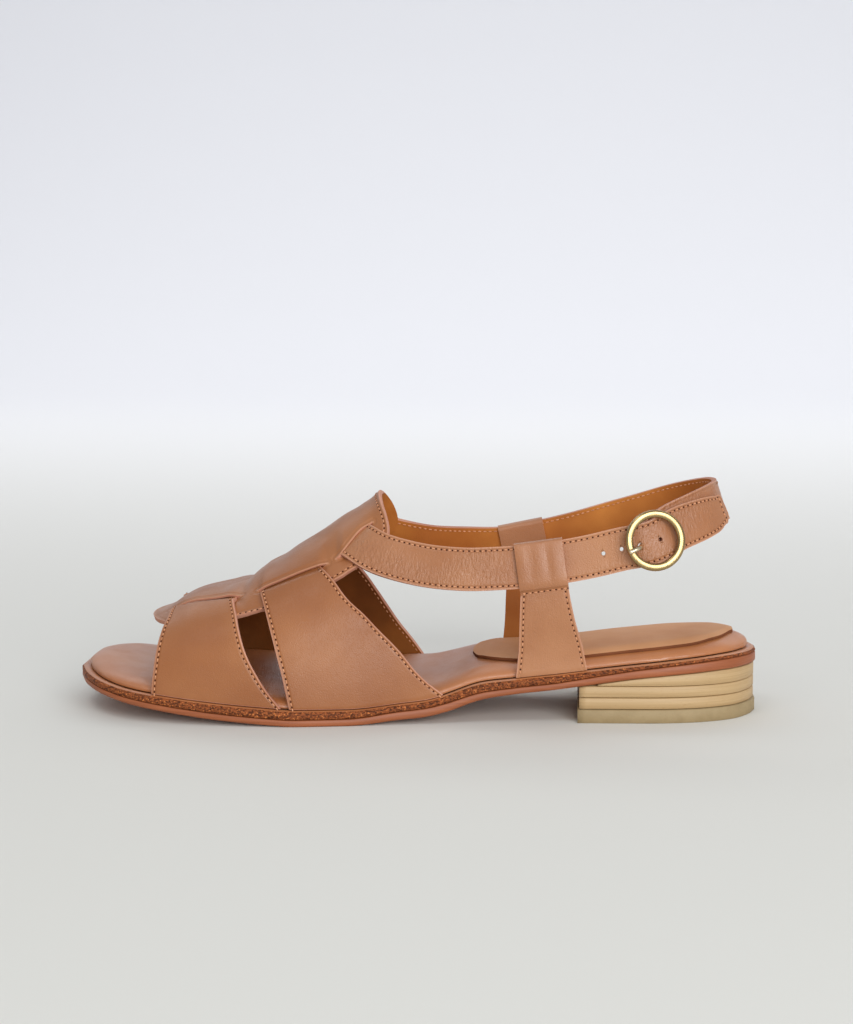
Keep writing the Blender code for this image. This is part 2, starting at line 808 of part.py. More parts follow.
def row_after(at, distance):
    """The row that lies a distance further along the path."""
    step = 0.005 if distance > 0 else -0.005
    left = abs(distance)
    point = path_frame(at)[0]
    while left > 0:
        at += step
        ahead = path_frame(at)[0]
        left -= np.linalg.norm(ahead - point)
        point = ahead
    return at


def strap_solid(name, start, end, grow, finish):
    """The strap between two rows, or a larger copy of it that clears it all round."""
    steps = max(int(round((end - start) * strap_steps)), 2)
    rows = [start + (end - start) * k / steps for k in range(steps + 1)]
    rows += [row for row in strap_run["row"] if start < row < end and row % 1 > 0]
    rows = sorted(set(round(row, 4) for row in rows))
    rows = [row for k, row in enumerate(rows) if k == 0 or row - rows[k - 1] > 0.06]
    inner = []
    outer = []
    for row in rows:
        middle, travel, out, up = strap_row(row)
        half = strap_width / 2 * read(strap_run, "width", row) + grow
        wall = strap_wall * read(strap_run, "wall", row) + grow
        inner.append([middle - out * grow + up * half * s for s in (-1, 0, 1)])
        outer.append([middle + out * wall + up * half * s for s in (-1, 0, 1)])
    return slab(name, inner, outer, finish)


def cylinder(name, centre, axis, radius, length, finish=None, sides=16):
    """A round bar from a primitive, turned to its axis."""
    form = bmesh.new()
    bmesh.ops.create_cone(
        form, cap_ends=True, segments=sides, radius1=radius, radius2=radius, depth=length)
    mesh = bpy.data.meshes.new(name)
    form.to_mesh(mesh)
    form.free()
    side = unit(np.cross(axis, np.array([0.31, 0.47, 0.83])))
    other = np.cross(axis, side)
    turn = np.column_stack([side, other, axis])
    for vertex in mesh.vertices:
        vertex.co = tuple(turn @ np.array(vertex.co) + centre)
    made = bpy.data.objects.new(name, mesh)
    part_collection.objects.link(made)
    if finish:
        mesh.materials.append(material(finish))
    return made


def bar_height():
    """The bar's middle above the inner face of the strap's turned end."""
    return fold_wall + bar_play + bar_wire / 2


def eye_radius():
    """Outside of the prong's eye round the bar."""
    return bar_wire / 2 + bar_play + fold_wall


def make_ankle_strap():
    strap = strap_solid("ankle_strap", strap_run["row"][0], strap_run["row"][-1], 0.0, "leather")
    for k in range(-hole_pairs, hole_pairs + 1):
        at = row_after(ring_row, prong_reach + k * hole_pitch)
        middle, travel, out, up = strap_row(at)
        diameter = prong_hole_diameter if k == 0 else hole_diameter
        centre = middle + out * strap_wall / 2
        name = f"strap_hole_{k + hole_pairs + 1}"
        hole = as_cutter(cylinder(name, centre, out, diameter / 2, hole_depth * strap_wall, sides=10))
        combine(strap, hole, "DIFFERENCE")
    point, travel, out, up = strap_row(ring_row + path_rows)
    axis_point = point + out * bar_height()
    bore = as_cutter(cylinder("bar_bore", axis_point, up, bar_wire / 2 + bar_play, 2 * strap_width))
    combine(strap, bore, "DIFFERENCE")
    notch = as_cutter(cylinder(
        "prong_notch", axis_point, up, eye_radius() + 2 * prong_play, prong_wire + 2 * prong_play, sides=20))
    combine(strap, notch, "DIFFERENCE")
    return strap


def make_upper():
    upper = make_saddle()
    for name, edges in (("front_band_form", front_band_edges), ("second_band_form", second_band_edges)):
        combine(upper, as_cutter(band(name, edges)), "UNION")
    clearance = as_cutter(strap_solid("ankle_strap_clearance", 9.0, 19.0, seat_gap, None))
    combine(upper, clearance, "DIFFERENCE")
    return upper


# Tabs

def make_tab(name, row, side):
    """A strap from the sole that loops round the ankle strap."""
    middle, travel, out, up = strap_row(row)
    forward = travel if side < 0 else -travel
    half = strap_width / 2
    inner = []
    outer = []

    def section(centre, across, front, rear, near, far):
        inner.append([centre + across * s + out * near for s in (front, 0.5 * (front - rear), -rear)])
        outer.append([centre + across * s + out * far for s in (front, 0.5 * (front - rear), -rear)])

    top = half + seat_gap + tab_layer
    near = -seat_gap - tab_layer
    far = strap_wall + seat_gap + tab_layer
    front = strap_width * tab_edges["front"][0]
    rear = strap_width * tab_edges["rear"][0]
    for rise, in_share, out_share in (
            (top, 0.45, 0.45), (top - 0.35 * tab_layer, 0.12, 0.12), (top - tab_layer, 0.0, 0.0),
            (0.0, 0.0, 0.0), (-half, 0.0, 0.0), (-half - 0.0022, 0.0, 0.30), (-half - tab_seam, 0.0, 0.63)):
        thick = far - near
        section(middle + up * rise, forward, front, rear, near + in_share * thick, far - out_share * thick)
    loop_end = middle - up * (half + tab_seam)
    foot_wall = welt_rim - strap_foot_margin - seat_gap
    for down in (0.2, 0.45, 0.7, 0.88, 1.0):
        wall = 2 * tab_layer + (foot_wall - 2 * tab_layer) * ease(down / 0.45)
        front = strap_width * read(tab_edges, "front", down)
        rear = strap_width * read(tab_edges, "rear", down)
        inner_row = []
        outer_row = []
        for s in (front, 0.5 * (front - rear), -rear):
            x = loop_end[0] - s
            low = welt_top(x) + seat_gap
            high = loop_end[2]
            z = high + (low - high) * down
            edge = side * (half_width(x, side) - strap_foot_margin)
            top_y = loop_end[1] + out[1] * (near + wall)
            y = top_y + (edge - top_y) * ease(down)
            inner_row.append(np.array([x, y - side * wall, z]))
            outer_row.append(np.array([x, y, z]))
        inner.append(inner_row)
        outer.append(outer_row)
    tab = slab(name, inner, outer, "leather")
    slot = as_cutter(strap_solid(f"{name}_slot", row - 1.2, row + 1.2, seat_gap, None))
    combine(tab, slot, "DIFFERENCE")
    return tab


# Buckle

def tube(name, points, radius, finish):
    """A round wire along points, from a curve with filled caps, as a closed mesh."""
    curve = bpy.data.curves.new(name, "CURVE")
    curve.dimensions = "3D"
    curve.bevel_depth = radius
    curve.bevel_resolution = 2
    curve.use_fill_caps = True
    spline = curve.splines.new("POLY")
    spline.points.add(len(points) - 1)
    for slot, p in zip(spline.points, points):
        slot.co = (*p, 1)
    guide = bpy.data.objects.new(name + "_path", curve)
    part_collection.objects.link(guide)
    bpy.context.view_layer.update()
    evaluated = guide.evaluated_get(bpy.context.evaluated_depsgraph_get())
    mesh = bpy.data.meshes.new_from_object(evaluated)
    form = bmesh.new()
    form.from_mesh(mesh)
    bmesh.ops.remove_doubles(form, verts=form.verts, dist=0.00002)
    bmesh.ops.recalc_face_normals(form, faces=form.faces)
    form.to_mesh(mesh)
    form.free()
    made = bpy.data.objects.new(name, mesh)
    made.matrix_world = guide.matrix_world
    part_collection.objects.link(made)
    bpy.data.objects.remove(guide)
    if finish:
        mesh.materials.clear()
        mesh.materials.append(material(finish))
    return made


def smooth_points(points, steps):
    """More points on an open Catmull-Rom curve through the given ones."""
    rows = [2 * points[0] - points[1]] + list(points) + [2 * points[-1] - points[-2]]
    found = []
    for i in range(1, len(rows) - 2):
        a, b, c, d = rows[i - 1:i + 3]
        for k in range(steps):
            t = k / steps
            found.append(0.5 * (2 * b + (c - a) * t + (2 * a - 5 * b + 4 * c - d) * t * t
                                + (3 * b - a - 3 * c + d) * t ** 3))
    found.append(points[-1])
    return found


def buckle_frame():
    """The bar's middle and the directions forward, outward and up at the buckle."""
    point, travel, out, up = strap_row(ring_row + path_rows)
    return point + out * bar_height(), travel, out, up


def ring_height():
    """The ring's plane above the bar's middle, so that the free end passes under it."""
    free_end = strap_wall * read(strap_run, "lift", ring_row) + strap_wall
    return free_end + seat_gap + ring_wire / 2 - bar_height()


def make_buckle():
    bar, forward, out, up = buckle_frame()
    centre = bar + out * ring_height()
    bpy.ops.mesh.primitive_torus_add(
        major_segments=32, minor_segments=8, major_radius=ring_radius, minor_radius=ring_wire / 2)
    made = bpy.context.active_object
    made.name = "buckle_ring"
    made.data.name = "buckle_ring"
    for collection in list(made.users_collection):
        collection.objects.unlink(made)
    part_collection.objects.link(made)
    turn = np.column_stack([forward, -up, out])
    if np.linalg.det(turn) < 0:
        turn = np.column_stack([forward, up, out])
    for vertex in made.data.vertices:
        vertex.co = tuple(turn @ np.array(vertex.co) + centre)
    made.data.materials.append(material("brass"))
    inside = strap_width / 2 + 0.0010
    points = [
        centre + up * ring_radius,
        centre + up * (ring_radius - 0.0002) - out * 0.45 * ring_height(),
        bar + up * (inside + 0.0003) + out * 0.18 * ring_height(),
        bar + up * (inside - 0.0012),
        bar,
        bar - up * (inside - 0.0012),
        bar - up * (inside + 0.0003) + out * 0.18 * ring_height(),
        centre - up * (ring_radius - 0.0002) - out * 0.45 * ring_height(),
        centre - up * ring_radius,
    ]
    wire = as_cutter(tube("bar_wire_form", smooth_points(points, 3), bar_wire / 2, "brass"))
    combine(made, wire, "UNION")
    return made


def make_prong():
    """An eye round the bar and a pin through the strap that rests on the ring."""
    bar, forward, out, up = buckle_frame()
    eye = cylinder("buckle_prong", bar, up, eye_radius(), prong_wire, "brass", sides=20)
    rest = ring_height() + ring_wire / 2 + seat_gap + prong_wire / 2
    points = [
        bar + forward * 0.8 * eye_radius(),
        bar + forward * (prong_reach - 0.0012) + out * 0.04 * rest,
        bar + forward * prong_reach + out * 0.25 * rest,
        bar + forward * (prong_reach + 0.0004) + out * 0.50 * rest,
        bar + forward * (prong_reach + 0.0024) + out * 0.90 * rest,
        bar + forward * ring_radius + out * rest,
        bar + forward * (ring_radius + 0.0012) + out * 0.99 * rest,
    ]
    pin = as_cutter(tube("prong_pin_form", smooth_points(points, 4), prong_wire / 2, "brass"))
    combine(eye, pin, "UNION")
    bore = as_cutter(cylinder("prong_bore", bar, up, bar_wire / 2 + bar_play, 4 * prong_wire))
    combine(eye, bore, "DIFFERENCE")
    return eye


for old in list(bpy.data.objects):
    bpy.data.objects.remove(old)

part_collection = bpy.data.collections.new("fisherman_sandal")
cutter_collection = bpy.data.collections.new("cutters")
bpy.context.scene.collection.children.link(part_collection)
bpy.context.scene.collection.children.link(cutter_collection)

footbed_sides = outline(inset=welt_rim)
footbed_loop = np.concatenate([footbed_sides[0], footbed_sides[1][::-1]])
path = path_points()

make_sole()
make_footbed()
make_sock()
make_heel()
make_upper()
ankle_strap = make_ankle_strap()
make_tab("tab_lateral", lateral_tab_row, -1)
make_tab("tab_medial", medial_tab_row, 1)
make_buckle()
make_prong()
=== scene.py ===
# Fisherman sandal, left shoe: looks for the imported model.
# Metres, +Z up. Toe towards -X, heel towards +X, buckle side towards -Y.

import math

import bmesh
import bpy
import numpy as np
from mathutils import Matrix


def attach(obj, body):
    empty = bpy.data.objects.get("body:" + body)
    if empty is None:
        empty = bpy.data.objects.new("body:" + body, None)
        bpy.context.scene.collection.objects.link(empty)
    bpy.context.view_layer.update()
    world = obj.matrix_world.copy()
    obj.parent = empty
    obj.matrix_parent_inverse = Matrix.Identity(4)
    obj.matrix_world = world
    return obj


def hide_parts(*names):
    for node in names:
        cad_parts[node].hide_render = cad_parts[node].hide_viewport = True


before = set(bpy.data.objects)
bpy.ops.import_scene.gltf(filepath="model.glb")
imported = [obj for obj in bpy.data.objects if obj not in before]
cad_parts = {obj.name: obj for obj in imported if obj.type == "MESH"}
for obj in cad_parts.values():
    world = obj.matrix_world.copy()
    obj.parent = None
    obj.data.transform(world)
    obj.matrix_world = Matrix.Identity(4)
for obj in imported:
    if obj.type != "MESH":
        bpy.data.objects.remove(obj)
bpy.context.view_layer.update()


def table(columns, rows):
    return {name: [row[i] for row in rows] for i, name in enumerate(columns.split())}


def readTable(rows, column, at):
    # smooth value of a column, no overshoot between rows
    xs = next(iter(rows.values()))
    ys = rows[column]
    last = len(xs) - 1
    at = min(max(at, xs[0]), xs[last])
    i = 0
    while i < last - 1 and at > xs[i + 1]:
        i += 1
    rate = [(ys[k + 1] - ys[k]) / (xs[k + 1] - xs[k]) if 0 <= k < last else None
            for k in (i - 1, i, i + 1)]

    def slope(before, after, spanBefore, spanAfter):
        if before is None or after is None:
            return after if before is None else before
        if before * after <= 0:
            return 0.0
        return (before * spanAfter + after * spanBefore) / (spanBefore + spanAfter)

    span = xs[i + 1] - xs[i]
    left = slope(rate[0], rate[1], xs[i] - xs[i - 1] if i else 1, span)
    right = slope(rate[1], rate[2], span, xs[i + 2] - xs[i + 1] if i + 2 <= last else 1)
    t = (at - xs[i]) / span
    start = (1 + 2 * t) * (1 - t) ** 2 * ys[i] + t * (1 - t) ** 2 * span * left
    end = t * t * (3 - 2 * t) * ys[i + 1] + t * t * (t - 1) * span * right
    return start + end


def ease(t):
    t = min(max(t, 0.0), 1.0)
    return t * t * (3 - 2 * t)


def unit(v):
    return v / np.linalg.norm(v)


def spline(a, b, c, d, t):
    # smooth curve from b to c, with a before and d after them
    return 0.5 * (2 * b + (c - a) * t + (2 * a - 5 * b + 4 * c - d) * t * t
                  + (3 * b - a - 3 * c + d) * t ** 3)


def tone(*screen):
    # screen colour 0 to 255 as the linear colour that shaders take
    linear = [c / 255 / 12.92 if c <= 10 else ((c / 255 + 0.055) / 1.055) ** 2.4 for c in screen]
    return (*linear, 1.0)


# Shape of the shoe

sole = {
    "length": 0.2556, "ballWidth": 0.091, "toeSpring": 0.010, "heelRise": 0.019,
    "outsoleWall": 0.003, "weltWall": 0.0036, "weltRim": 0.0032, "rimFall": 0.0007,
    "heelBreast": 0.0614, "topPiece": 0.0049, "lift": 0.0043, "heelInset": 0.0006,
    "footbedSide": 0.0008, "shoulder": 0.0022, "shoulderReach": 0.0080, "crown": 0.0009,
    "arch": 0.0036, "cushion": 0.0014, "sockWall": 0.0010, "sockInset": 0.0034, "sockFront": 0.585,
    "sockRear": 0.0020, "bevel": 0.0008, "softEdge": 0.0002, "heelSoftEdge": 0.00022,
}
upper = {"instepHeight": 0.0785, "wall": 0.0018, "footMargin": 0.0011, "sagReach": 0.36}
strap = {"width": 0.0157, "wall": 0.0018, "height": 0.079, "hole": 0.0015, "prongHole": 0.0019,
         "holePitch": 0.0065, "holePairs": 2, "foldWall": 0.0009, "tailSeam": 1.14, "outerSeamEnd": 28.3,
         "liningSeamEnd": 31.3}
tab = {"layer": 0.0013, "seam": 0.0023, "puff": 0.0005, "fold": 0.0004, "topWall": 0.6, "columns": 27,
       "footRows": 16}
buckle = {"radius": 0.0096, "wire": 0.0028, "barWire": 0.0016, "prongWire": 0.0014, "pinWire": 0.0017,
          "play": 0.00015, "prongReach": 0.0045, "prongPlay": 0.0003, "ringPoints": 96, "flat": 0.80,
          "square": 0.72}
gap = 0.0003

footOutline = table("along lateral medial", [
    (0.0000, 0.120, 0.300), (0.0040, 0.200, 0.400), (0.0210, 0.460, 0.600), (0.0500, 0.700, 0.790),
    (0.0968, 0.860, 0.900), (0.1624, 0.945, 0.975), (0.2431, 0.990, 1.000), (0.3137, 1.000, 0.965),
    (0.3945, 0.945, 0.850), (0.4853, 0.845, 0.700), (0.5660, 0.765, 0.600), (0.6367, 0.715, 0.570),
    (0.7174, 0.685, 0.585), (0.7982, 0.665, 0.625), (0.8638, 0.640, 0.625), (0.9193, 0.565, 0.560),
    (0.9647, 0.420, 0.420), (0.9899, 0.225, 0.225), (1.0000, 0.060, 0.060)])
soleProfile = table("along spring rise outsole welt arch cushion", [
    (0.0000, 1.00, 0.000, 0.70, 0.75, 0.00, 0.00), (0.0312, 0.93, 0.000, 0.68, 0.80, 0.00, 0.00),
    (0.0917, 0.65, 0.000, 0.70, 0.85, 0.00, 0.00), (0.1624, 0.39, 0.000, 0.73, 0.95, 0.25, 0.00),
    (0.2290, 0.20, 0.000, 0.76, 1.00, 0.60, 0.00), (0.2936, 0.07, 0.000, 0.78, 1.00, 0.80, 0.00),
    (0.3390, 0.00, 0.000, 0.80, 0.97, 0.85, 0.00), (0.4147, 0.00, 0.000, 0.85, 0.90, 1.00, 0.00),
    (0.4853, 0.00, 0.090, 1.00, 0.78, 1.15, 0.00), (0.5257, 0.00, 0.140, 1.05, 0.78, 1.15, 0.05),
    (0.5560, 0.00, 0.237, 1.05, 0.90, 1.00, 0.20), (0.5963, 0.00, 0.430, 0.90, 1.00, 0.60, 0.50),
    (0.6518, 0.00, 0.558, 0.78, 0.92, 0.30, 0.80), (0.7073, 0.00, 0.642, 0.78, 0.90, 0.10, 1.00),
    (0.7427, 0.00, 0.710, 0.85, 0.80, 0.00, 1.00), (0.8284, 0.00, 0.874, 1.00, 0.52, 0.00, 1.00),
    (0.9061, 0.00, 0.963, 1.15, 0.48, 0.00, 1.00), (0.9697, 0.00, 1.000, 1.25, 0.48, 0.00, 1.00),
    (1.0000, 0.00, 0.985, 1.25, 0.48, 0.00, 1.00)])
lastRidge = table("along crown ridge fullness", [
    (0.0413, 0.330, 0.10, 0.060), (0.1018, 0.405, 0.10, 0.060), (0.1553, 0.472, 0.09, 0.050),
    (0.1826, 0.512, 0.08, 0.045), (0.2219, 0.552, 0.08, 0.040), (0.2471, 0.586, 0.08, 0.035),
    (0.2683, 0.624, 0.07, 0.030), (0.2865, 0.657, 0.07, 0.025), (0.3077, 0.695, 0.06, 0.020),
    (0.3309, 0.741, 0.06, 0.012), (0.3501, 0.781, 0.05, 0.005), (0.3743, 0.831, 0.05, 0.000),
    (0.4015, 0.892, 0.05, -0.005), (0.4288, 0.950, 0.05, -0.010), (0.4480, 0.990, 0.05, -0.012),
    (0.4954, 1.160, 0.05, -0.015), (0.5963, 1.450, 0.03, -0.020), (0.7477, 1.600, 0.02, -0.020)])
crownSag = table("along sag", [
    (0.1500, 0.0000), (0.1800, 0.0007), (0.2125, 0.0012), (0.2325, 0.0022), (0.2530, 0.0014),
    (0.2720, 0.0010), (0.2915, 0.0012), (0.3110, 0.0014), (0.3300, 0.0008), (0.3490, 0.0008),
    (0.3680, 0.0007), (0.3860, 0.0008), (0.4050, 0.0011), (0.4220, 0.0015), (0.4410, 0.0009),
    (0.4580, 0.0002), (0.4750, 0.0000)])
frontBandEdges = table("around front rear", [
    (-1.000, 0.1321, 0.3198), (-0.930, 0.1326, 0.3016), (-0.830, 0.1341, 0.2830), (-0.735, 0.1361, 0.2698),
    (-0.615, 0.1392, 0.2598), (-0.500, 0.1432, 0.2532), (-0.350, 0.1477, 0.2451), (-0.180, 0.1472, 0.2451),
    (0.000, 0.1422, 0.2471), (0.180, 0.1412, 0.2451), (0.350, 0.1392, 0.2451), (0.500, 0.1331, 0.2522),
    (0.615, 0.1281, 0.2588), (0.735, 0.1230, 0.2678), (0.830, 0.1200, 0.2796), (0.930, 0.1165, 0.2952),
    (1.000, 0.1139, 0.3100)])
secondBandEdges = table("around front rear", [
    (-1.000, 0.3309, 0.5479), (-0.933, 0.3264, 0.5146), (-0.846, 0.3203, 0.4853), (-0.766, 0.3137, 0.4606),
    (-0.687, 0.3073, 0.4379), (-0.600, 0.3006, 0.4116), (-0.500, 0.2931, 0.3922), (-0.384, 0.2842, 0.3713),
    (-0.200, 0.2734, 0.3561), (0.000, 0.2683, 0.3501), (0.200, 0.2734, 0.3541), (0.384, 0.2842, 0.3662),
    (0.500, 0.2931, 0.3915), (0.600, 0.2996, 0.4116), (0.687, 0.3053, 0.4293), (0.766, 0.3107, 0.4470),
    (0.846, 0.3163, 0.4663), (0.933, 0.3224, 0.4934), (1.000, 0.3269, 0.5156)])
saddleLine = table("along edge slit lift open", [
    (0.1018, 0.430, 0.190, 0.00, 0.0), (0.1381, 0.455, 0.200, 0.12, 0.0), (0.1482, 0.462, 0.208, 0.55, 0.45),
    (0.1600, 0.468, 0.218, 0.96, 1.0), (0.1997, 0.484, 0.270, 1.00, 1.0), (0.2310, 0.493, 0.305, 1.00, 1.0),
    (0.2451, 0.495, 0.331, 0.62, 0.9), (0.2552, 0.499, 0.345, 0.10, 0.0), (0.2673, 0.505, 0.360, 0.42, 0.0),
    (0.2785, 0.510, 0.368, 0.72, 0.0), (0.2860, 0.512, 0.369, 0.95, 0.75), (0.2936, 0.513, 0.368, 1.00, 1.0),
    (0.3390, 0.508, 0.372, 1.00, 1.0), (0.3642, 0.496, 0.382, 0.92, 1.0), (0.3720, 0.493, 0.384, 0.94, 0.75),
    (0.3800, 0.490, 0.384, 0.98, 0.0), (0.3920, 0.485, 0.378, 1.10, 0.0), (0.3995, 0.482, 0.366, 1.15, 0.6),
    (0.4046, 0.478, 0.352, 1.17, 1.0), (0.4278, 0.466, 0.296, 1.17, 1.0), (0.4389, 0.461, 0.288, 1.05, 0.8),
    (0.4470, 0.456, 0.284, 1.05, 0.0), (0.4712, 0.430, 0.270, 1.15, 0.0)])
saddleEnds = table("across front rear", [
    (0.000, 0.1064, 0.4545), (0.250, 0.1094, 0.4565), (0.500, 0.1180, 0.4606), (0.720, 0.1316, 0.4656),
    (0.860, 0.1462, 0.4677), (0.950, 0.1624, 0.4631), (1.000, 0.1826, 0.4510)])
instepPath = table("along around", [
    (0.5150, -0.615), (0.4587, -0.475), (0.4211, -0.335), (0.3984, -0.170), (0.3897, 0.000),
    (0.3984, 0.170), (0.4211, 0.335), (0.4587, 0.475), (0.5150, 0.615)])
lateralPath = table("along out up facing lean", [
    (0.9425, 0.000, 1.000, 0, 18), (0.9331, -0.231, 0.995, -28, 18), (0.9073, -0.429, 0.968, -52, 16),
    (0.8709, -0.571, 0.921, -62, 13), (0.8396, -0.651, 0.861, -69, 11), (0.7986, -0.688, 0.822, -78, 9),
    (0.7536, -0.708, 0.782, -86, 8), (0.6870, -0.710, 0.743, -91, 7), (0.6284, -0.699, 0.723, -92, 10),
    (0.5736, -0.677, 0.714, -93, 14)])
medialPath = table("along out up facing lean", [
    (0.5736, 0.666, 0.708, 93, 14), (0.6205, 0.682, 0.710, 92, 10), (0.6570, 0.688, 0.727, 91, 7),
    (0.7301, 0.685, 0.784, 88, 8), (0.7888, 0.655, 0.842, 80, 9), (0.8357, 0.604, 0.890, 70, 11),
    (0.8787, 0.525, 0.938, 60, 13), (0.9112, 0.395, 0.972, 50, 16), (0.9339, 0.220, 0.995, 28, 18)])
strapRun = table("row lift drop width wall", [
    (0.850, 1.17, 0.360, 0.16, 1.0), (1.000, 1.17, 0.150, 0.58, 1.0), (1.300, 1.17, 0.155, 0.73, 1.0),
    (1.600, 1.17, 0.168, 0.85, 1.0), (2.000, 1.17, 0.158, 0.93, 1.0), (3.000, 1.45, 0.110, 1.00, 1.0),
    (3.750, 2.22, 0.070, 1.00, 1.0),
    (4.250, 2.22, 0.060, 1.00, 1.0), (5.000, 1.10, 0.020, 1.00, 1.0), (6.000, 0.20, 0.000, 1.00, 1.0),
    (7.000, 0.00, 0.000, 1.00, 1.0), (9.000, 0.40, 0.000, 1.00, 1.0), (10.00, 1.00, 0.000, 1.00, 1.0),
    (11.00, 1.17, 0.000, 1.00, 1.0), (11.65, 1.05, 0.000, 1.00, 1.0), (12.40, 0.20, 0.000, 1.00, 1.0),
    (13.00, 0.00, 0.000, 1.00, 1.0), (15.00, 0.00, 0.000, 1.00, 1.0), (15.60, 0.20, 0.000, 1.00, 1.0),
    (16.35, 1.05, 0.000, 1.00, 1.0), (17.00, 1.17, 0.000, 1.00, 1.0), (18.00, 1.00, 0.000, 1.00, 1.0),
    (19.00, 0.40, 0.000, 1.00, 1.0), (21.00, 0.00, 0.000, 1.00, 1.0), (30.90, 0.00, 0.000, 1.00, 1.0),
    (31.60, 0.00, 0.000, 1.00, 1.0), (31.82, 0.00, 0.020, 0.98, 2.05), (32.20, 0.00, 0.040, 0.96, 2.05)])
tabEdges = table("down front rear", [
    (0.00, 0.56, 0.56), (0.35, 0.58, 0.70), (0.70, 0.60, 0.88), (1.00, 0.66, 0.99)])
sockOutline = table("along lateral medial", [
    (0.000, 0.06, 0.20), (0.012, 0.26, 0.40), (0.050, 0.50, 0.62), (0.120, 0.76, 0.82), (0.220, 0.93, 0.95),
    (0.340, 1.00, 1.00), (0.780, 1.00, 1.00), (0.900, 0.93, 0.93), (0.965, 0.76, 0.76), (1.000, 0.42, 0.42)])
# rows of the ankle strap's path where the buckle and the tabs sit, and how many rows the loop has
ringRow = 4
lateralTabRow = 7
medialTabRow = 21
pathRows = 28


def place(along):
    return (along - 0.5) * sole["length"]


def share(x):
    return x / sole["length"] + 0.5


def profile(name, x):
    return readTable(soleProfile, name, share(x))


def underside(x):
    return sole["toeSpring"] * profile("spring", x) + sole["heelRise"] * profile("rise", x)


def outsoleTop(x):
    return underside(x) + sole["outsoleWall"] * profile("outsole", x)


def weltTop(x):
    return outsoleTop(x) + sole["weltWall"] * profile("welt", x)


def halfWidth(x, side):
    return sole["ballWidth"] / 2 * readTable(footOutline, "lateral" if side < 0 else "medial", share(x))


# Leather and other finishes

finishes = {
    "leather": {"base": (166, 108, 65), "deep": (148, 90, 50), "roughness": 0.40, "grain": 0.00050,
                "relief": 0.00010, "specular": 0.45, "seam": True},
    # strapLeatherSheen and tabLeatherSheen are the same leather as leather; their paler, greyer base is a
    # painted sheen
    "strapLeatherSheen": {"base": (180, 124, 84), "deep": (160, 103, 64), "roughness": 0.40, "grain": 0.00055,
                     "relief": 0.00013, "specular": 0.6, "seam": True, "creases": 2.6},
    "tabLeatherSheen": {"base": (180, 124, 84), "deep": (160, 103, 64), "roughness": 0.40, "grain": 0.00055,
                   "relief": 0.00011, "specular": 0.65, "seam": True, "creases": 0.7},
    "lining": {"base": (206, 134, 62), "deep": (164, 94, 38), "roughness": 0.60, "grain": 0.00035,
               "relief": 0.00006, "specular": 0.25},
    # shadedBandLining: the lining made darker, painted shade for the closed inside of the bands
    "shadedBandLining": {"base": (150, 90, 38), "deep": (112, 62, 24), "roughness": 0.62, "grain": 0.00035,
                   "relief": 0.00006, "specular": 0.25},
    "cutEdge": {"base": (214, 158, 132), "deep": (178, 120, 96), "roughness": 0.62, "grain": 0.00030,
                "relief": 0.00008, "specular": 0.3},
    "footbedLeather": {"base": (184, 120, 74), "deep": (166, 102, 60), "roughness": 0.36, "grain": 0.00055,
                       "relief": 0.00009, "specular": 0.8},
    "sockLeather": {"base": (206, 152, 106), "deep": (190, 134, 90), "roughness": 0.62, "grain": 0.00045,
                    "relief": 0.00008, "specular": 0.35},
    "sockEdge": {"base": (128, 76, 46), "deep": (92, 50, 28), "roughness": 0.8, "grain": 0.0003,
                 "relief": 0.0001, "specular": 0.2},
}
# paler band along every free edge: partly the leather's own pale edge tone, partly a painted highlight where
# the rounded edge catches light from above
paleEdgeAndHighlight = {"tone": (206, 152, 122), "share": 0.55, "from": 0.0001, "to": 0.0008}
seamPress = {"inset": 0.0013, "reach": 0.0010, "depth": 2.2}
bumpStrength = 0.75
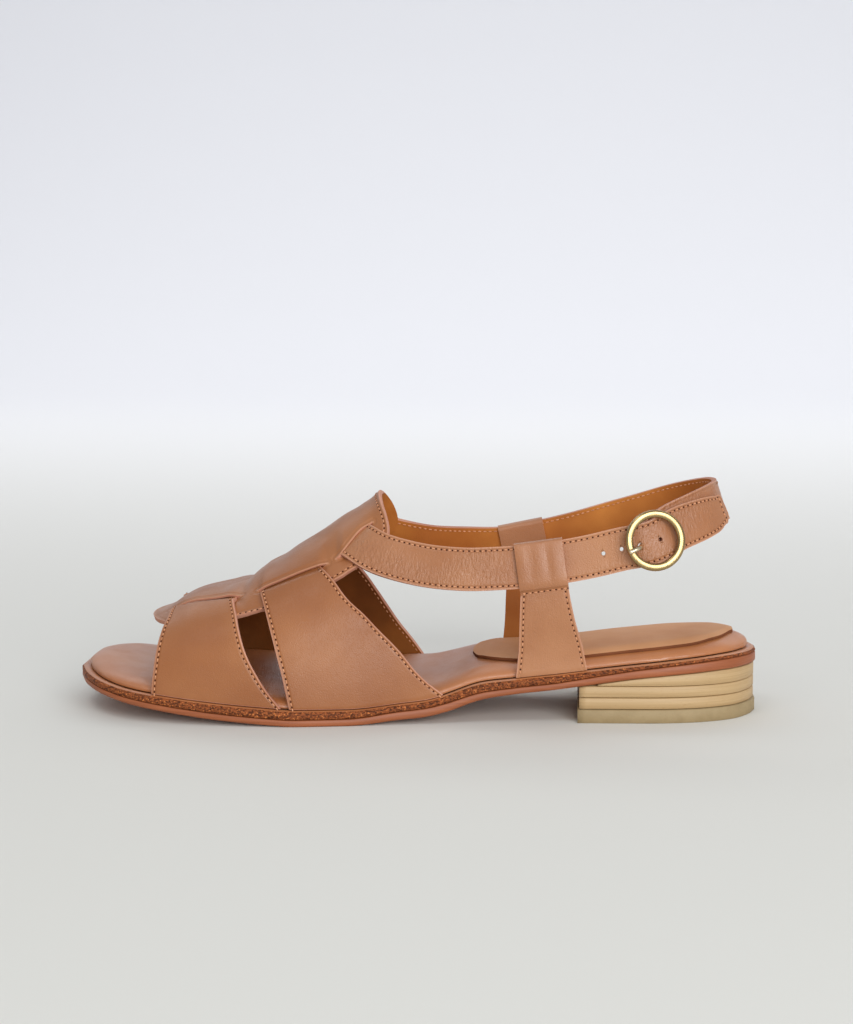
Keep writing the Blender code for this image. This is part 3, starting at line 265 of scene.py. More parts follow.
# layers: noise scale, detail, roughness, stretch, ramp from, ramp to, share, tone laid over the one before
layered = {
    "fibreEdge": {"base": (70, 33, 14), "raised": (0, 1), "roughness": 0.62, "specular": 0.2,
                  "strength": 0.9, "relief": 0.00030, "layers": [
                      (1000.0, 3.0, 0.7, (1, 1, 1.5), 0.36, 0.66, 1.0, (158, 86, 44)),
                      (1350.0, 2.0, 0.6, None, 0.56, 0.70, 1.0, (208, 126, 68))]},
    "soleEdge": {"base": (144, 78, 42), "raised": (0,), "roughness": 0.5, "specular": 0.5,
                 "strength": 0.5, "relief": 0.0001, "layers": [
                     (160.0, 4.0, 0.6, (0.25, 0.25, 9.0), 0.32, 0.70, 1.0, (162, 92, 52)),
                     (60.0, 3.0, 0.6, None, 0.45, 0.75, 0.35, (134, 70, 38))]},
    "stackedHeel": {"base": (180, 149, 105), "raised": (0, 1), "roughness": 0.5, "specular": 0.5,
                    "strength": 0.5, "relief": 0.00012, "layers": [
                        (260.0, 5.0, 0.65, (0.10, 0.10, 8.0), 0.30, 0.72, 1.0, (193, 163, 119)),
                        (90.0, 4.0, 0.6, (0.30, 0.30, 16.0), 0.58, 0.74, 0.35, (176, 142, 98)),
                        (1300.0, 2.0, 0.5, (0.5, 0.5, 1.6), 0.62, 0.74, 0.30, (160, 118, 74))]},
    "topPiece": {"base": (151, 130, 93), "raised": (1,), "roughness": 0.66, "specular": 0.5,
                 "strength": 0.6, "relief": 0.00012, "layers": [
                     (140.0, 4.0, 0.6, None, 0.3, 0.7, 1.0, (161, 140, 103)),
                     (1800.0, 2.0, 0.5, None, 0.6, 0.75, 0.30, (140, 118, 84))]},
    "thread": {"base": (186, 124, 88), "raised": (0,), "roughness": 0.7, "specular": 0.15,
               "strength": 0.6, "relief": 0.00008, "layers": [
                   (2600.0, 2.0, 0.5, None, 0.35, 0.65, 1.0, (222, 166, 128))]},
    # needleHoleShade: a dark bead painted as the shade inside each needle hole
    "needleHoleShade": {"base": (56, 26, 16), "raised": (0,), "roughness": 0.7, "specular": 0.15,
                   "strength": 0.6, "relief": 0.00008, "layers": [
                       (2600.0, 2.0, 0.5, None, 0.35, 0.65, 1.0, (92, 44, 27))]},
}
# litPinBrass: a paler copy of the buckle brass, a painted highlight on the prong
brass = {"paleBrass": ((158, 134, 92), (176, 152, 108)), "litPinBrass": ((206, 190, 156), (224, 210, 180)),
         "roughness": (0.20, 0.30), "relief": 0.00002}


def mix(tree, factor, first, second, kind="MIX"):
    node = tree.nodes.new("ShaderNodeMix")
    node.data_type = "RGBA"
    node.blend_type = kind
    for name, value in (("Factor_Float", factor), ("A_Color", first), ("B_Color", second)):
        socket = next(s for s in node.inputs if s.identifier == name)
        if isinstance(value, bpy.types.NodeSocket):
            tree.links.new(value, socket)
        else:
            socket.default_value = value
    return next(s for s in node.outputs if s.identifier == "Result_Color")


def mathNode(tree, operation, *values):
    node = tree.nodes.new("ShaderNodeMath")
    node.operation = operation
    for socket, value in zip(node.inputs, values):
        if isinstance(value, bpy.types.NodeSocket):
            tree.links.new(value, socket)
        else:
            socket.default_value = value
    return node.outputs[0]


def plus(tree, first, second):
    return mathNode(tree, "ADD", first, second)


def times(tree, first, second):
    return mathNode(tree, "MULTIPLY", first, second)


def ramp(tree, value, low, high, toLow=0.0, toHigh=1.0):
    node = tree.nodes.new("ShaderNodeMapRange")
    node.interpolation_type = "SMOOTHSTEP"
    tree.links.new(value, node.inputs["Value"])
    for name, v in (("From Min", low), ("From Max", high), ("To Min", toLow), ("To Max", toHigh)):
        node.inputs[name].default_value = v
    return node.outputs["Result"]


def noise(tree, vector, scale, detail=3.0, rough=0.5, stretch=None):
    if stretch:
        mapping = tree.nodes.new("ShaderNodeMapping")
        mapping.inputs["Scale"].default_value = stretch
        tree.links.new(vector, mapping.inputs["Vector"])
        vector = mapping.outputs["Vector"]
    node = tree.nodes.new("ShaderNodeTexNoise")
    node.inputs["Scale"].default_value = scale
    node.inputs["Detail"].default_value = detail
    node.inputs["Roughness"].default_value = rough
    tree.links.new(vector, node.inputs["Vector"])
    return node.outputs["Fac"]


def cells(tree, vector, scale):
    node = tree.nodes.new("ShaderNodeTexVoronoi")
    node.inputs["Scale"].default_value = scale
    tree.links.new(vector, node.inputs["Vector"])
    return node.outputs["Distance"]


def grainGroup():
    # pores, fine wrinkles and slow colour drift of a tanned hide
    group = bpy.data.node_groups.new("hideGrain", "ShaderNodeTree")
    for name, kind in (("Grain Size", "Float"), ("Base", "Color"), ("Deep", "Color"), ("Shine", "Float")):
        group.interface.new_socket(name, in_out="INPUT", socket_type="NodeSocket" + kind)
    for name, kind in (("Color", "Color"), ("Roughness", "Float"), ("Height", "Float")):
        group.interface.new_socket(name, in_out="OUTPUT", socket_type="NodeSocket" + kind)
    start = group.nodes.new("NodeGroupInput").outputs
    end = group.nodes.new("NodeGroupOutput").inputs
    where = group.nodes.new("ShaderNodeTexCoord").outputs["Object"]
    scaled = group.nodes.new("ShaderNodeVectorMath")
    scaled.operation = "SCALE"
    group.links.new(where, scaled.inputs[0])
    group.links.new(mathNode(group, "DIVIDE", 1.0, start["Grain Size"]), scaled.inputs["Scale"])
    small = scaled.outputs["Vector"]
    pores = ramp(group, cells(group, small, 1.0), 0.05, 0.55)
    wrinkles = noise(group, small, 0.45, 4.0, 0.62)
    fine = noise(group, small, 2.2, 2.0, 0.5)
    drift = noise(group, where, 26.0, 3.0, 0.55)
    patches = noise(group, where, 95.0, 4.0, 0.6)
    height = plus(group, times(group, pores, 0.55), times(group, wrinkles, 0.75))
    height = plus(group, height, times(group, fine, 0.25))
    colour = mix(group, ramp(group, drift, 0.30, 0.72), start["Deep"], start["Base"])
    colour = mix(group, ramp(group, patches, 0.35, 0.75, 0.0, 0.16), colour, start["Deep"])
    colour = mix(group, ramp(group, pores, 0.0, 0.5, 0.14, 0.0), colour, start["Deep"])
    rough = plus(group, start["Shine"], ramp(group, patches, 0.3, 0.75, -0.05, 0.07))
    rough = plus(group, rough, ramp(group, pores, 0.0, 0.6, 0.05, 0.0))
    for name, value in (("Color", colour), ("Roughness", rough), ("Height", height)):
        group.links.new(value, end[name])
    return group


hideGrain = grainGroup()


def newMaterial(name):
    material = bpy.data.materials.new(name)
    material.use_nodes = True
    tree = material.node_tree
    where = tree.nodes.new("ShaderNodeTexCoord").outputs["Object"]
    return material, tree, tree.nodes["Principled BSDF"].inputs, where


def bump(tree, height, strength, distance, shader):
    node = tree.nodes.new("ShaderNodeBump")
    node.inputs["Strength"].default_value = strength
    node.inputs["Distance"].default_value = distance
    tree.links.new(height, node.inputs["Height"])
    tree.links.new(node.outputs["Normal"], shader["Normal"])


def hideMaterial(name):
    # seam: a pressed line where the stitches run, and a paler edge band, partly the edge's own tone and
    # partly a painted highlight of the rounded edge
    # creases: share of fine upright wrinkles in the relief
    look = finishes[name]
    material, tree, shader, where = newMaterial(name)
    grain = tree.nodes.new("ShaderNodeGroup")
    grain.node_tree = hideGrain
    grain.inputs["Grain Size"].default_value = look["grain"]
    grain.inputs["Base"].default_value = tone(*look["base"])
    grain.inputs["Deep"].default_value = tone(*look["deep"])
    grain.inputs["Shine"].default_value = look["roughness"]
    colour = grain.outputs["Color"]
    height = grain.outputs["Height"]
    if "creases" in look:
        folds = noise(tree, where, 880.0, 3.0, 0.6, (1.0, 1.0, 0.36))
        places = ramp(tree, noise(tree, where, 38.0, 2.0, 0.5), 0.38, 0.62)
        folds = times(tree, ramp(tree, folds, 0.30, 0.70), times(tree, places, look["creases"]))
        height = plus(tree, height, folds)
    if "seam" in look:
        reach = tree.nodes.new("ShaderNodeAttribute")
        reach.attribute_name = "fromEdge"
        fromEdge = reach.outputs["Fac"]
        off = mathNode(tree, "ABSOLUTE", mathNode(tree, "SUBTRACT", fromEdge, seamPress["inset"]))
        pressed = ramp(tree, off, 0.0, seamPress["reach"])
        height = plus(tree, height, times(tree, pressed, seamPress["depth"]))
        # pale edge band: the edge's own tone with a painted highlight of the rounded edge
        edgeToneAndHighlight = ramp(tree, fromEdge, paleEdgeAndHighlight["from"], paleEdgeAndHighlight["to"], paleEdgeAndHighlight["share"], 0.0)
        colour = mix(tree, edgeToneAndHighlight, colour, tone(*paleEdgeAndHighlight["tone"]))
    tree.links.new(colour, shader["Base Color"])
    tree.links.new(grain.outputs["Roughness"], shader["Roughness"])
    bump(tree, height, bumpStrength, look["relief"], shader)
    shader["Specular IOR Level"].default_value = look["specular"]
    return material


def layeredMaterial(name):
    look = layered[name]
    material, tree, shader, where = newMaterial(name)
    colour = tone(*look["base"])
    heights = []
    for scale, detail, rough, stretch, low, high, most, over in look["layers"]:
        heights.append(noise(tree, where, scale, detail, rough, stretch))
        colour = mix(tree, ramp(tree, heights[-1], low, high, 0.0, most), colour, tone(*over))
    height = heights[look["raised"][0]]
    for i in look["raised"][1:]:
        height = plus(tree, height, heights[i])
    tree.links.new(colour, shader["Base Color"])
    bump(tree, height, look["strength"], look["relief"], shader)
    shader["Roughness"].default_value = look["roughness"]
    shader["Specular IOR Level"].default_value = look["specular"]
    return material


def brassMaterial(name):
    material, tree, shader, where = newMaterial(name)
    brushed = noise(tree, where, 700.0, 3.0, 0.6)
    cloud = noise(tree, where, 120.0, 2.0, 0.5)
    deep, bright = brass[name]
    tree.links.new(mix(tree, cloud, tone(*deep), tone(*bright)), shader["Base Color"])
    tree.links.new(ramp(tree, brushed, 0.3, 0.7, *brass["roughness"]), shader["Roughness"])
    bump(tree, brushed, 0.10, brass["relief"], shader)
    shader["Metallic"].default_value = 1.0
    return material


leatherSkin = hideMaterial("leather")
strapSheenSkin = hideMaterial("strapLeatherSheen")
tabSheenSkin = hideMaterial("tabLeatherSheen")
shadedBandLining = hideMaterial("shadedBandLining")
leatherLining = hideMaterial("lining")
cutEdge = hideMaterial("cutEdge")
footbedSkin = hideMaterial("footbedLeather")
sockSkin = hideMaterial("sockLeather")
sockEdge = hideMaterial("sockEdge")
fibreEdge = layeredMaterial("fibreEdge")
soleEdge = layeredMaterial("soleEdge")
stackedHeel = layeredMaterial("stackedHeel")
topPieceRubber = layeredMaterial("topPiece")
thread = layeredMaterial("thread")
needleHoleShade = layeredMaterial("needleHoleShade")
paleBrass = brassMaterial("paleBrass")
litPinBrass = brassMaterial("litPinBrass")
print("materials made")


# Mesh helpers

def newObject(name, points, faces, materials, slots=None, fromEdge=None, smooth=True):
    mesh = bpy.data.meshes.new(name)
    mesh.from_pydata([tuple(p) for p in points], [], faces)
    for material in materials:
        mesh.materials.append(material)
    if slots is not None:
        mesh.polygons.foreach_set("material_index", slots)
    if fromEdge is not None:
        mesh.attributes.new("fromEdge", "FLOAT", "POINT").data.foreach_set("value", fromEdge)
    form = bmesh.new()
    form.from_mesh(mesh)
    bmesh.ops.recalc_face_normals(form, faces=form.faces)
    form.to_mesh(mesh)
    form.free()
    mesh.polygons.foreach_set("use_smooth", [smooth] * len(mesh.polygons))
    made = bpy.data.objects.new(name, mesh)
    bpy.context.scene.collection.objects.link(made)
    return made


def applyModifiers(made):
    bpy.context.view_layer.update()
    done = bpy.data.meshes.new_from_object(made.evaluated_get(bpy.context.evaluated_depsgraph_get()))
    made.modifiers.clear()
    made.data = done
    return made


rounding = {"strap": 0.00042, "tab": 0.0003, "footbed": 0.0003, "sock": 0.00025, "segments": 2, "angle": 40}


def roundEdges(made, width):
    step = made.modifiers.new("rounded", "BEVEL")
    step.width = width
    step.segments = rounding["segments"]
    step.limit_method = "ANGLE"
    step.angle_limit = math.radians(rounding["angle"])
    step.material = 2  # the cut edge
    return applyModifiers(made)


def wallBetween(name, outer, inner, fromEdge, materials, edgeRadius):
    # closed wall: outer grid, inner grid and the cut edge all round, with a material for each
    rows, columns = len(outer), len(outer[0])
    points = [p for row in outer for p in row] + [p for row in inner for p in row]
    step = rows * columns
    faces, slots = [], []

    def at(r, c, side):
        return side * step + r * columns + c

    for r in range(rows - 1):
        for c in range(columns - 1):
            faces.append((at(r, c, 0), at(r, c + 1, 0), at(r + 1, c + 1, 0), at(r + 1, c, 0)))
            slots.append(0)
            faces.append((at(r, c, 1), at(r + 1, c, 1), at(r + 1, c + 1, 1), at(r, c + 1, 1)))
            slots.append(1)
    rim = [(r, c, r + 1, c) for r in range(rows - 1) for c in (0, columns - 1)]
    rim += [(r, c, r, c + 1) for c in range(columns - 1) for r in (0, rows - 1)]
    for r, c, nextR, nextC in rim:
        faces.append((at(r, c, 0), at(nextR, nextC, 0), at(nextR, nextC, 1), at(r, c, 1)))
        slots.append(2)
    reach = [v for row in fromEdge for v in row]
    made = newObject(name, points, faces, materials, slots, reach + reach)
    return roundEdges(made, edgeRadius)


# Stitching: a thread, and a dark bead painted as the shade of its needle hole, on every step of a line, made
# by Geometry Nodes

stitch = {"pitch": 0.00205, "length": 0.00135, "width": 0.00052, "height": 0.00022, "hole": 0.00036,
          "liningHole": 0.00010, "inset": 0.0013, "proud": 0.00005}
outerLines, liningLines = [], []


def stitchTree():
    tree = bpy.data.node_groups.new("stitchRow", "GeometryNodeTree")
    tree.interface.new_socket("Lines", in_out="INPUT", socket_type="NodeSocketGeometry")
    for name in ("Pitch", "Length", "Width", "Height", "Hole"):
        tree.interface.new_socket(name, in_out="INPUT", socket_type="NodeSocketFloat")
    for name in ("Thread", "Needle Hole Shade"):
        tree.interface.new_socket(name, in_out="INPUT", socket_type="NodeSocketMaterial")
    tree.interface.new_socket("Stitches", in_out="OUTPUT", socket_type="NodeSocketGeometry")
    make = tree.nodes.new
    link = tree.links.new
    start = make("NodeGroupInput")
    end = make("NodeGroupOutput")
    curve = make("GeometryNodeMeshToCurve")
    link(start.outputs["Lines"], curve.inputs["Mesh"])
    even = make("GeometryNodeResampleCurve")
    even.mode = "LENGTH"
    link(curve.outputs["Curve"], even.inputs["Curve"])
    link(start.outputs["Pitch"], even.inputs["Length"])
    tangent = make("GeometryNodeInputTangent")
    outward = make("GeometryNodeInputNamedAttribute")
    outward.data_type = "FLOAT_VECTOR"
    outward.inputs["Name"].default_value = "outward"
    along = make("FunctionNodeAlignRotationToVector")
    along.axis = "X"
    link(tangent.outputs["Tangent"], along.inputs["Vector"])
    upright = make("FunctionNodeAlignRotationToVector")
    upright.axis = "Z"
    upright.pivot_axis = "X"
    link(along.outputs["Rotation"], upright.inputs["Rotation"])
    link(outward.outputs["Attribute"], upright.inputs["Vector"])

    def half(socket):
        node = make("ShaderNodeMath")
        node.operation = "MULTIPLY"
        node.inputs[1].default_value = 0.5
        link(socket, node.inputs[0])
        return node.outputs[0]

    def bead(segments, rings, sizes, offset, finish):
        ball = make("GeometryNodeMeshUVSphere")
        ball.inputs["Segments"].default_value = segments
        ball.inputs["Rings"].default_value = rings
        ball.inputs["Radius"].default_value = 1.0
        form = make("GeometryNodeTransform")
        size = make("ShaderNodeCombineXYZ")
        for socket, value in zip(size.inputs, sizes):
            link(value, socket)
        link(ball.outputs["Mesh"], form.inputs["Geometry"])
        link(size.outputs["Vector"], form.inputs["Scale"])
        if offset is not None:
            move = make("ShaderNodeCombineXYZ")
            link(offset, move.inputs["X"])
            link(move.outputs["Vector"], form.inputs["Translation"])
        smooth = make("GeometryNodeSetShadeSmooth")
        link(form.outputs["Geometry"], smooth.inputs["Geometry"])
        coloured = make("GeometryNodeSetMaterial")
        link(smooth.outputs["Geometry"], coloured.inputs["Geometry"])
        link(start.outputs[finish], coloured.inputs["Material"])
        return coloured.outputs["Geometry"]

    given = start.outputs
    threadBead = bead(8, 6, (half(given["Length"]), half(given["Width"]), given["Height"]), None, "Thread")
    # dark bead half a step on: painted shade of the needle hole
    holeShadeBead = bead(6, 4, (given["Hole"], given["Hole"], half(given["Height"])), half(given["Pitch"]),
                    "Needle Hole Shade")
    both = make("GeometryNodeJoinGeometry")
    link(threadBead, both.inputs["Geometry"])
    link(holeShadeBead, both.inputs["Geometry"])
    onPoints = make("GeometryNodeInstanceOnPoints")
    link(even.outputs["Curve"], onPoints.inputs["Points"])
    link(both.outputs["Geometry"], onPoints.inputs["Instance"])
    link(upright.outputs["Rotation"], onPoints.inputs["Rotation"])
    real = make("GeometryNodeRealizeInstances")
    link(onPoints.outputs["Instances"], real.inputs["Geometry"])
    link(real.outputs["Geometry"], end.inputs["Stitches"])
    return tree


def makeStitches(name, lines, hole):
    # lines: each a list of (point, outward direction)
    points, edges, outward = [], [], []
    for line in lines:
        first = len(points)
        points += [tuple(p) for p, n in line]
        outward += [c for p, n in line for c in n]
        edges += [(first + i, first + i + 1) for i in range(len(line) - 1)]
    mesh = bpy.data.meshes.new(name)
    mesh.from_pydata(points, edges, [])
    mesh.attributes.new("outward", "FLOAT_VECTOR", "POINT").data.foreach_set("vector", outward)
    made = bpy.data.objects.new(name, mesh)
    bpy.context.scene.collection.objects.link(made)
    tree = stitchTree()
    step = made.modifiers.new("stitches", "NODES")
    step.node_group = tree
    values = {"Pitch": stitch["pitch"], "Length": stitch["length"], "Width": stitch["width"],
              "Height": stitch["height"], "Hole": hole, "Thread": thread, "Needle Hole Shade": needleHoleShade}
    for item in tree.interface.items_tree:
        if item.in_out == "INPUT" and item.name in values:
            step[item.identifier] = values[item.name]
    applyModifiers(made)
    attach(made, "root")


# Sole

def outline(start=0.0, inset=0.0, steps=7):
    rows = len(footOutline["along"])
    places = {"row": list(range(rows)), **footOutline}
    lateral, medial = [], []
    if start > 0:
        x = place(start)
        lateral.append((x, -halfWidth(x, -1)))
        medial.append((x, halfWidth(x, 1)))
    for i in range((rows - 1) * steps + 1):
        at = i / steps
        along = readTable(places, "along", at)
        if along > start + 0.004 or start == 0:
            lateral.append((place(along), -sole["ballWidth"] / 2 * readTable(places, "lateral", at)))
            medial.append((place(along), sole["ballWidth"] / 2 * readTable(places, "medial", at)))
    loop = np.array(lateral + medial[::-1])
    ahead = np.roll(loop, -1, 0) - loop
    behind = loop - np.roll(loop, 1, 0)
    ahead /= np.linalg.norm(ahead, axis=1)[:, None]
    behind /= np.linalg.norm(behind, axis=1)[:, None]
    inward = np.stack([-(ahead + behind)[:, 1], (ahead + behind)[:, 0]], 1)
    inward /= np.linalg.norm(inward, axis=1)[:, None]
    bend = np.sqrt(np.clip((1 + (ahead * behind).sum(1)) / 2, 0.3, 1))
    moved = loop + inward * (inset / bend)[:, None]
    return moved[:len(lateral)], moved[len(lateral):][::-1]


footbedSides = outline(inset=sole["weltRim"], steps=3)
footbedLoop = np.concatenate([footbedSides[0], footbedSides[1][::-1]])


def edgeDistance(x, y):
    ends = np.roll(footbedLoop, -1, 0)
    along = ends - footbedLoop
    t = ((np.array([x, y]) - footbedLoop) * along).sum(1) / (along ** 2).sum(1)
    nearest = footbedLoop + along * np.clip(t, 0, 1)[:, None]
    return np.min(np.linalg.norm(nearest - np.array([x, y]), axis=1))


def footbedTop(x, y):
    inShare = min(edgeDistance(x, y) / sole["shoulderReach"], 1.0)
    shoulder = sole["shoulder"] * math.sqrt(1 - (1 - inShare) ** 2)
    side = -1 if y < 0 else 1
    across = min(abs(y) / (halfWidth(x, side) - sole["weltRim"]), 1.0)
    crown = sole["crown"] * (1 - across ** 2)
    arch = sole["arch"] * profile("arch", x) * ease(0.5 + 0.5 * side * across) * inShare
    cushion = sole["cushion"] * profile("cushion", x) * inShare
    return weltTop(x) + gap + sole["footbedSide"] + shoulder + crown + arch + cushion


def ringStack(name, rings, materials, slotOf):
    # rings[k] = (height function, start share, inset)
    points, loops = [], []
    for height, start, inset in rings:
        lateral, medial = outline(start, inset)
        first = len(points)
        count = len(lateral)
        points += [(x, y, height(x, y)) for x, y in lateral] + [(x, y, height(x, y)) for x, y in medial]
        loops.append([first + i for i in range(count)] + [first + 2 * count - 1 - i for i in range(count)])
    faces, slots = [], []
    for k, (low, high) in enumerate(zip(loops, loops[1:])):
        for i in range(2 * count):
            j = (i + 1) % (2 * count)
            faces.append((low[i], low[j], high[j], high[i]))
            slots.append(slotOf[k])
    for i in range(count - 1):
        faces.append((i, i + 1, count + i + 1, count + i))
        slots.append(slotOf[0])
    first = len(points) - 2 * count
    for i in range(count - 1):
        faces.append((first + i, first + i + 1, first + count + i + 1, first + count + i))
        slots.append(slotOf[-1])
    return newObject(name, points, faces, materials, slots)


def makeSole():
    bevel, soft = sole["bevel"], sole["softEdge"]
    outsole = ringStack("outsole_edge", [
        (lambda x, y: underside(x), 0, bevel),
        (lambda x, y: underside(x) + 0.25 * bevel, 0, 0.3 * bevel),
        (lambda x, y: underside(x) + bevel, 0, 0.0),
        (lambda x, y: outsoleTop(x) - soft, 0, 0.0),
        (lambda x, y: outsoleTop(x), 0, soft)], [soleEdge], [0] * 5)
    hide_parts("outsole")
    rim, fall = sole["weltRim"], sole["rimFall"]
    welt = ringStack("welt_layer", [
        (lambda x, y: outsoleTop(x) + gap, 0, soft),
        (lambda x, y: outsoleTop(x) + gap + soft, 0, 0.0),
        (lambda x, y: weltTop(x) - fall - soft, 0, 0.0),
        (lambda x, y: weltTop(x) - fall, 0, soft),
        (lambda x, y: weltTop(x) - 0.5 * fall, 0, 0.16 * rim),
        (lambda x, y: weltTop(x), 0, 0.42 * rim),
        (lambda x, y: weltTop(x), 0, 0.80 * rim),
        (lambda x, y: weltTop(x) - 0.0003, 0, 1.1 * rim)],
        [fibreEdge, footbedSkin], [0, 0, 0, 0, 1, 1, 1, 1])
    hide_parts("welt")
    for piece in (outsole, welt):
        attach(piece, "root")


def sheetRows(inset, rows, columns, start=None, shape=None):
    # places on the foot, closer together at all four edges
    lateralEdge, medialEdge = outline(inset=inset)
    front = max(lateralEdge[0][0], medialEdge[0][0]) if start is None else place(start)
    back = min(lateralEdge[-1][0], medialEdge[-1][0]) - (sole["sockRear"] if shape else 0)
    found = []
    for i in range(rows):
        at = 0.5 - 0.5 * math.cos(math.pi * i / (rows - 1))
        x = front + (back - front) * at
        lateral = np.interp(x, lateralEdge[:, 0], lateralEdge[:, 1])
        medial = np.interp(x, medialEdge[:, 0], medialEdge[:, 1])
        if shape:
            lateral *= readTable(shape, "lateral", at)
            medial *= readTable(shape, "medial", at)
        turns = [math.cos(math.pi * c / (columns - 1)) for c in range(columns)]
        found.append([(x, 0.5 * (lateral + medial) - 0.5 * (medial - lateral) * turn) for turn in turns])
    return found


farFromEdge = 0.01  # where no seam, pale edge tone or painted edge highlight shows


def makeFootbed():
    rows = sheetRows(sole["weltRim"], 130, 44)
    under = [[(x, y, weltTop(x) + gap) for x, y in row] for row in rows]
    over = [[(x, y, footbedTop(x, y)) for x, y in row] for row in rows]
    reach = [[farFromEdge] * len(row) for row in rows]
    footbed = wallBetween("padded_footbed", over, under, reach, [footbedSkin] * 3, rounding["footbed"])
    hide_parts("footbed")
    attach(footbed, "root")


def makeSock():
    rows = sheetRows(sole["weltRim"] + sole["sockInset"], 80, 22, sole["sockFront"], sockOutline)
    under = [[(x, y, footbedTop(x, y) + gap) for x, y in row] for row in rows]
    over = [[(x, y, footbedTop(x, y) + gap + sole["sockWall"]) for x, y in row] for row in rows]
    reach = [[farFromEdge] * len(row) for row in rows]
    finish = [sockSkin, leatherLining, sockEdge]
    sock = wallBetween("heel_sock_pad", over, under, reach, finish, rounding["sock"])
    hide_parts("heel_sock")
    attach(sock, "root")


def makeHeel():
    breast = share(sole["heelBreast"])
    levels = [0.0, sole["topPiece"], sole["topPiece"] + sole["lift"], sole["topPiece"] + 2 * sole["lift"]]
    names = [("heel_top_piece", "top_piece"), ("heel_lift_3", "lift_low"), ("heel_lift_2", "lift_middle")]
    soft = sole["heelSoftEdge"]
    for (node, name), low, high in zip(names, levels, levels[1:]):
        bottom = low if low == 0 else low + gap
        finish = topPieceRubber if low == 0 else stackedHeel
        inset = 0.0 if low == 0 else sole["heelInset"]
        piece = ringStack(name, [
            (lambda x, y: bottom, breast, inset + soft),
            (lambda x, y: bottom + soft, breast, inset),
            (lambda x, y: min(high, underside(x) - gap) - soft, breast, inset),
            (lambda x, y: min(high, underside(x) - gap), breast, inset + soft)], [finish], [0] * 4)
        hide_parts(node)
        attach(piece, "root")
    base = levels[-1] + gap
    thinnest, soft = 0.00025, 0.0001
    wedgeStart = breast
    while underside(place(wedgeStart)) - gap < base + thinnest:
        wedgeStart += 0.001
    inset = sole["heelInset"]
    wedge = ringStack("lift_wedge", [
        (lambda x, y: base, wedgeStart, inset + soft),
        (lambda x, y: base + soft, wedgeStart, inset),
        (lambda x, y: underside(x) - gap - soft, wedgeStart, inset),
        (lambda x, y: underside(x) - gap, wedgeStart, inset + soft)], [stackedHeel], [0] * 4)
    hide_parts("heel_lift_1")
    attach(wedge, "root")


makeSole()
makeFootbed()
makeSock()
makeHeel()
print("sole and heel made")


# The last that the upper is shaped on

def lastPoint(x, around):
    along = share(x)
    side = -1 if around < 0 else 1
    turn = abs(around) * math.pi / 2
    full = readTable(lastRidge, "fullness", along) * math.sin(2 * turn) ** 2
    ridge = sole["ballWidth"] / 2 * readTable(lastRidge, "ridge", along)
    foot = halfWidth(x, side) - upper["footMargin"] - upper["wall"]
    low = weltTop(x) + gap
    high = upper["instepHeight"] * readTable(lastRidge, "crown", along)
    sag = readTable(crownSag, "sag", along) * (1 - ease(abs(around) / upper["sagReach"]))
    return np.array([x, ridge + side * (foot - side * ridge) * (math.sin(turn) + full),
                     low + (high - low) * (math.cos(turn) + full) - sag])


def lastNormal(x, around):
    along = lastPoint(x + 0.0001, around) - lastPoint(x - 0.0001, around)
    across = lastPoint(x, min(around + 0.001, 1)) - lastPoint(x, max(around - 0.001, -1))
    return unit(np.cross(along, across))


def skin(x, around, lift):
    return lastPoint(x, around) + lift * lastNormal(x, around)


def slitAt(x):
    return readTable(saddleLine, "slit", share(x))


def bandLift(x, around):
    # on the last, over the saddle's edge strip, and back where it has dived through the slit
    dive = ease((abs(around) - slitAt(x) + 0.004) / 0.050)
    drape = 1 - ease((abs(around) - readTable(saddleLine, "edge", share(x)) + 0.03) / 0.46)
    return upper["wall"] * dive * drape


bandLook = {"rows": 150, "columns": 15, "seamStart": 0.012}


def makeBand(name, edges):
    rows, columns = bandLook["rows"], bandLook["columns"]
    outer, inner, reach = [], [], []
    lines = {0: [], 1: []}
    for r in range(rows):
        around = -1 + 2 * r / (rows - 1)
        front = place(readTable(edges, "front", around))
        rear = place(readTable(edges, "rear", around))

        def surface(s, lift):
            x = front + (rear - front) * s
            return skin(x, around, bandLift(x, around) + lift)

        wall = upper["wall"]
        width = np.linalg.norm(surface(1, wall) - surface(0, wall))
        shares = [0.5 - 0.5 * math.cos(math.pi * c / (columns - 1)) for c in range(columns)]
        outer.append([surface(s, wall) for s in shares])
        inner.append([surface(s, 0.0) for s in shares])
        reach.append([min(s, 1 - s) * width for s in shares])
        for end in (0, 1):
            s = stitch["inset"] / width if end == 0 else 1 - stitch["inset"] / width
            x = front + (rear - front) * s
            if abs(around) > slitAt(x) + bandLook["seamStart"]:
                lines[end].append((around, surface(s, wall + stitch["proud"]), lastNormal(x, around)))
    for end in (0, 1):
        for side in (-1, 1):
            line = [(p, n) for around, p, n in lines[end] if around * side > 0]
            outerLines.append(line)
            liningLines.append([(p - n * (upper["wall"] + 2 * stitch["proud"]), -n) for p, n in line])
    # the bands' lining is the darker copy, painted shade inside the bands
    return wallBetween(name, outer, inner, reach, [leatherSkin, shadedBandLining, cutEdge], rounding["strap"])


# The saddle: one sheet, slit where bands and ankle strap pass through

saddleLook = {"rows": 190, "stripColumns": 9, "middleColumns": 18, "slitDip": 0.0010, "lipRoll": 0.0005,
              "lipReach": 0.0017, "lipWall": 0.5,
              "seams": ((0.105, 0.150), (0.2440, 0.2960), (0.376, 0.430))}


def saddleLift(x, around, inside):
    along = share(x)
    edge = readTable(saddleLine, "edge", along)
    middle = readTable(saddleLine, "lift", along) * upper["wall"]
    opened = readTable(saddleLine, "open", along)
    soft = middle * (1 - ease((abs(around) / edge - 0.35) / 0.6))
    return opened * inside * middle + (1 - opened) * soft


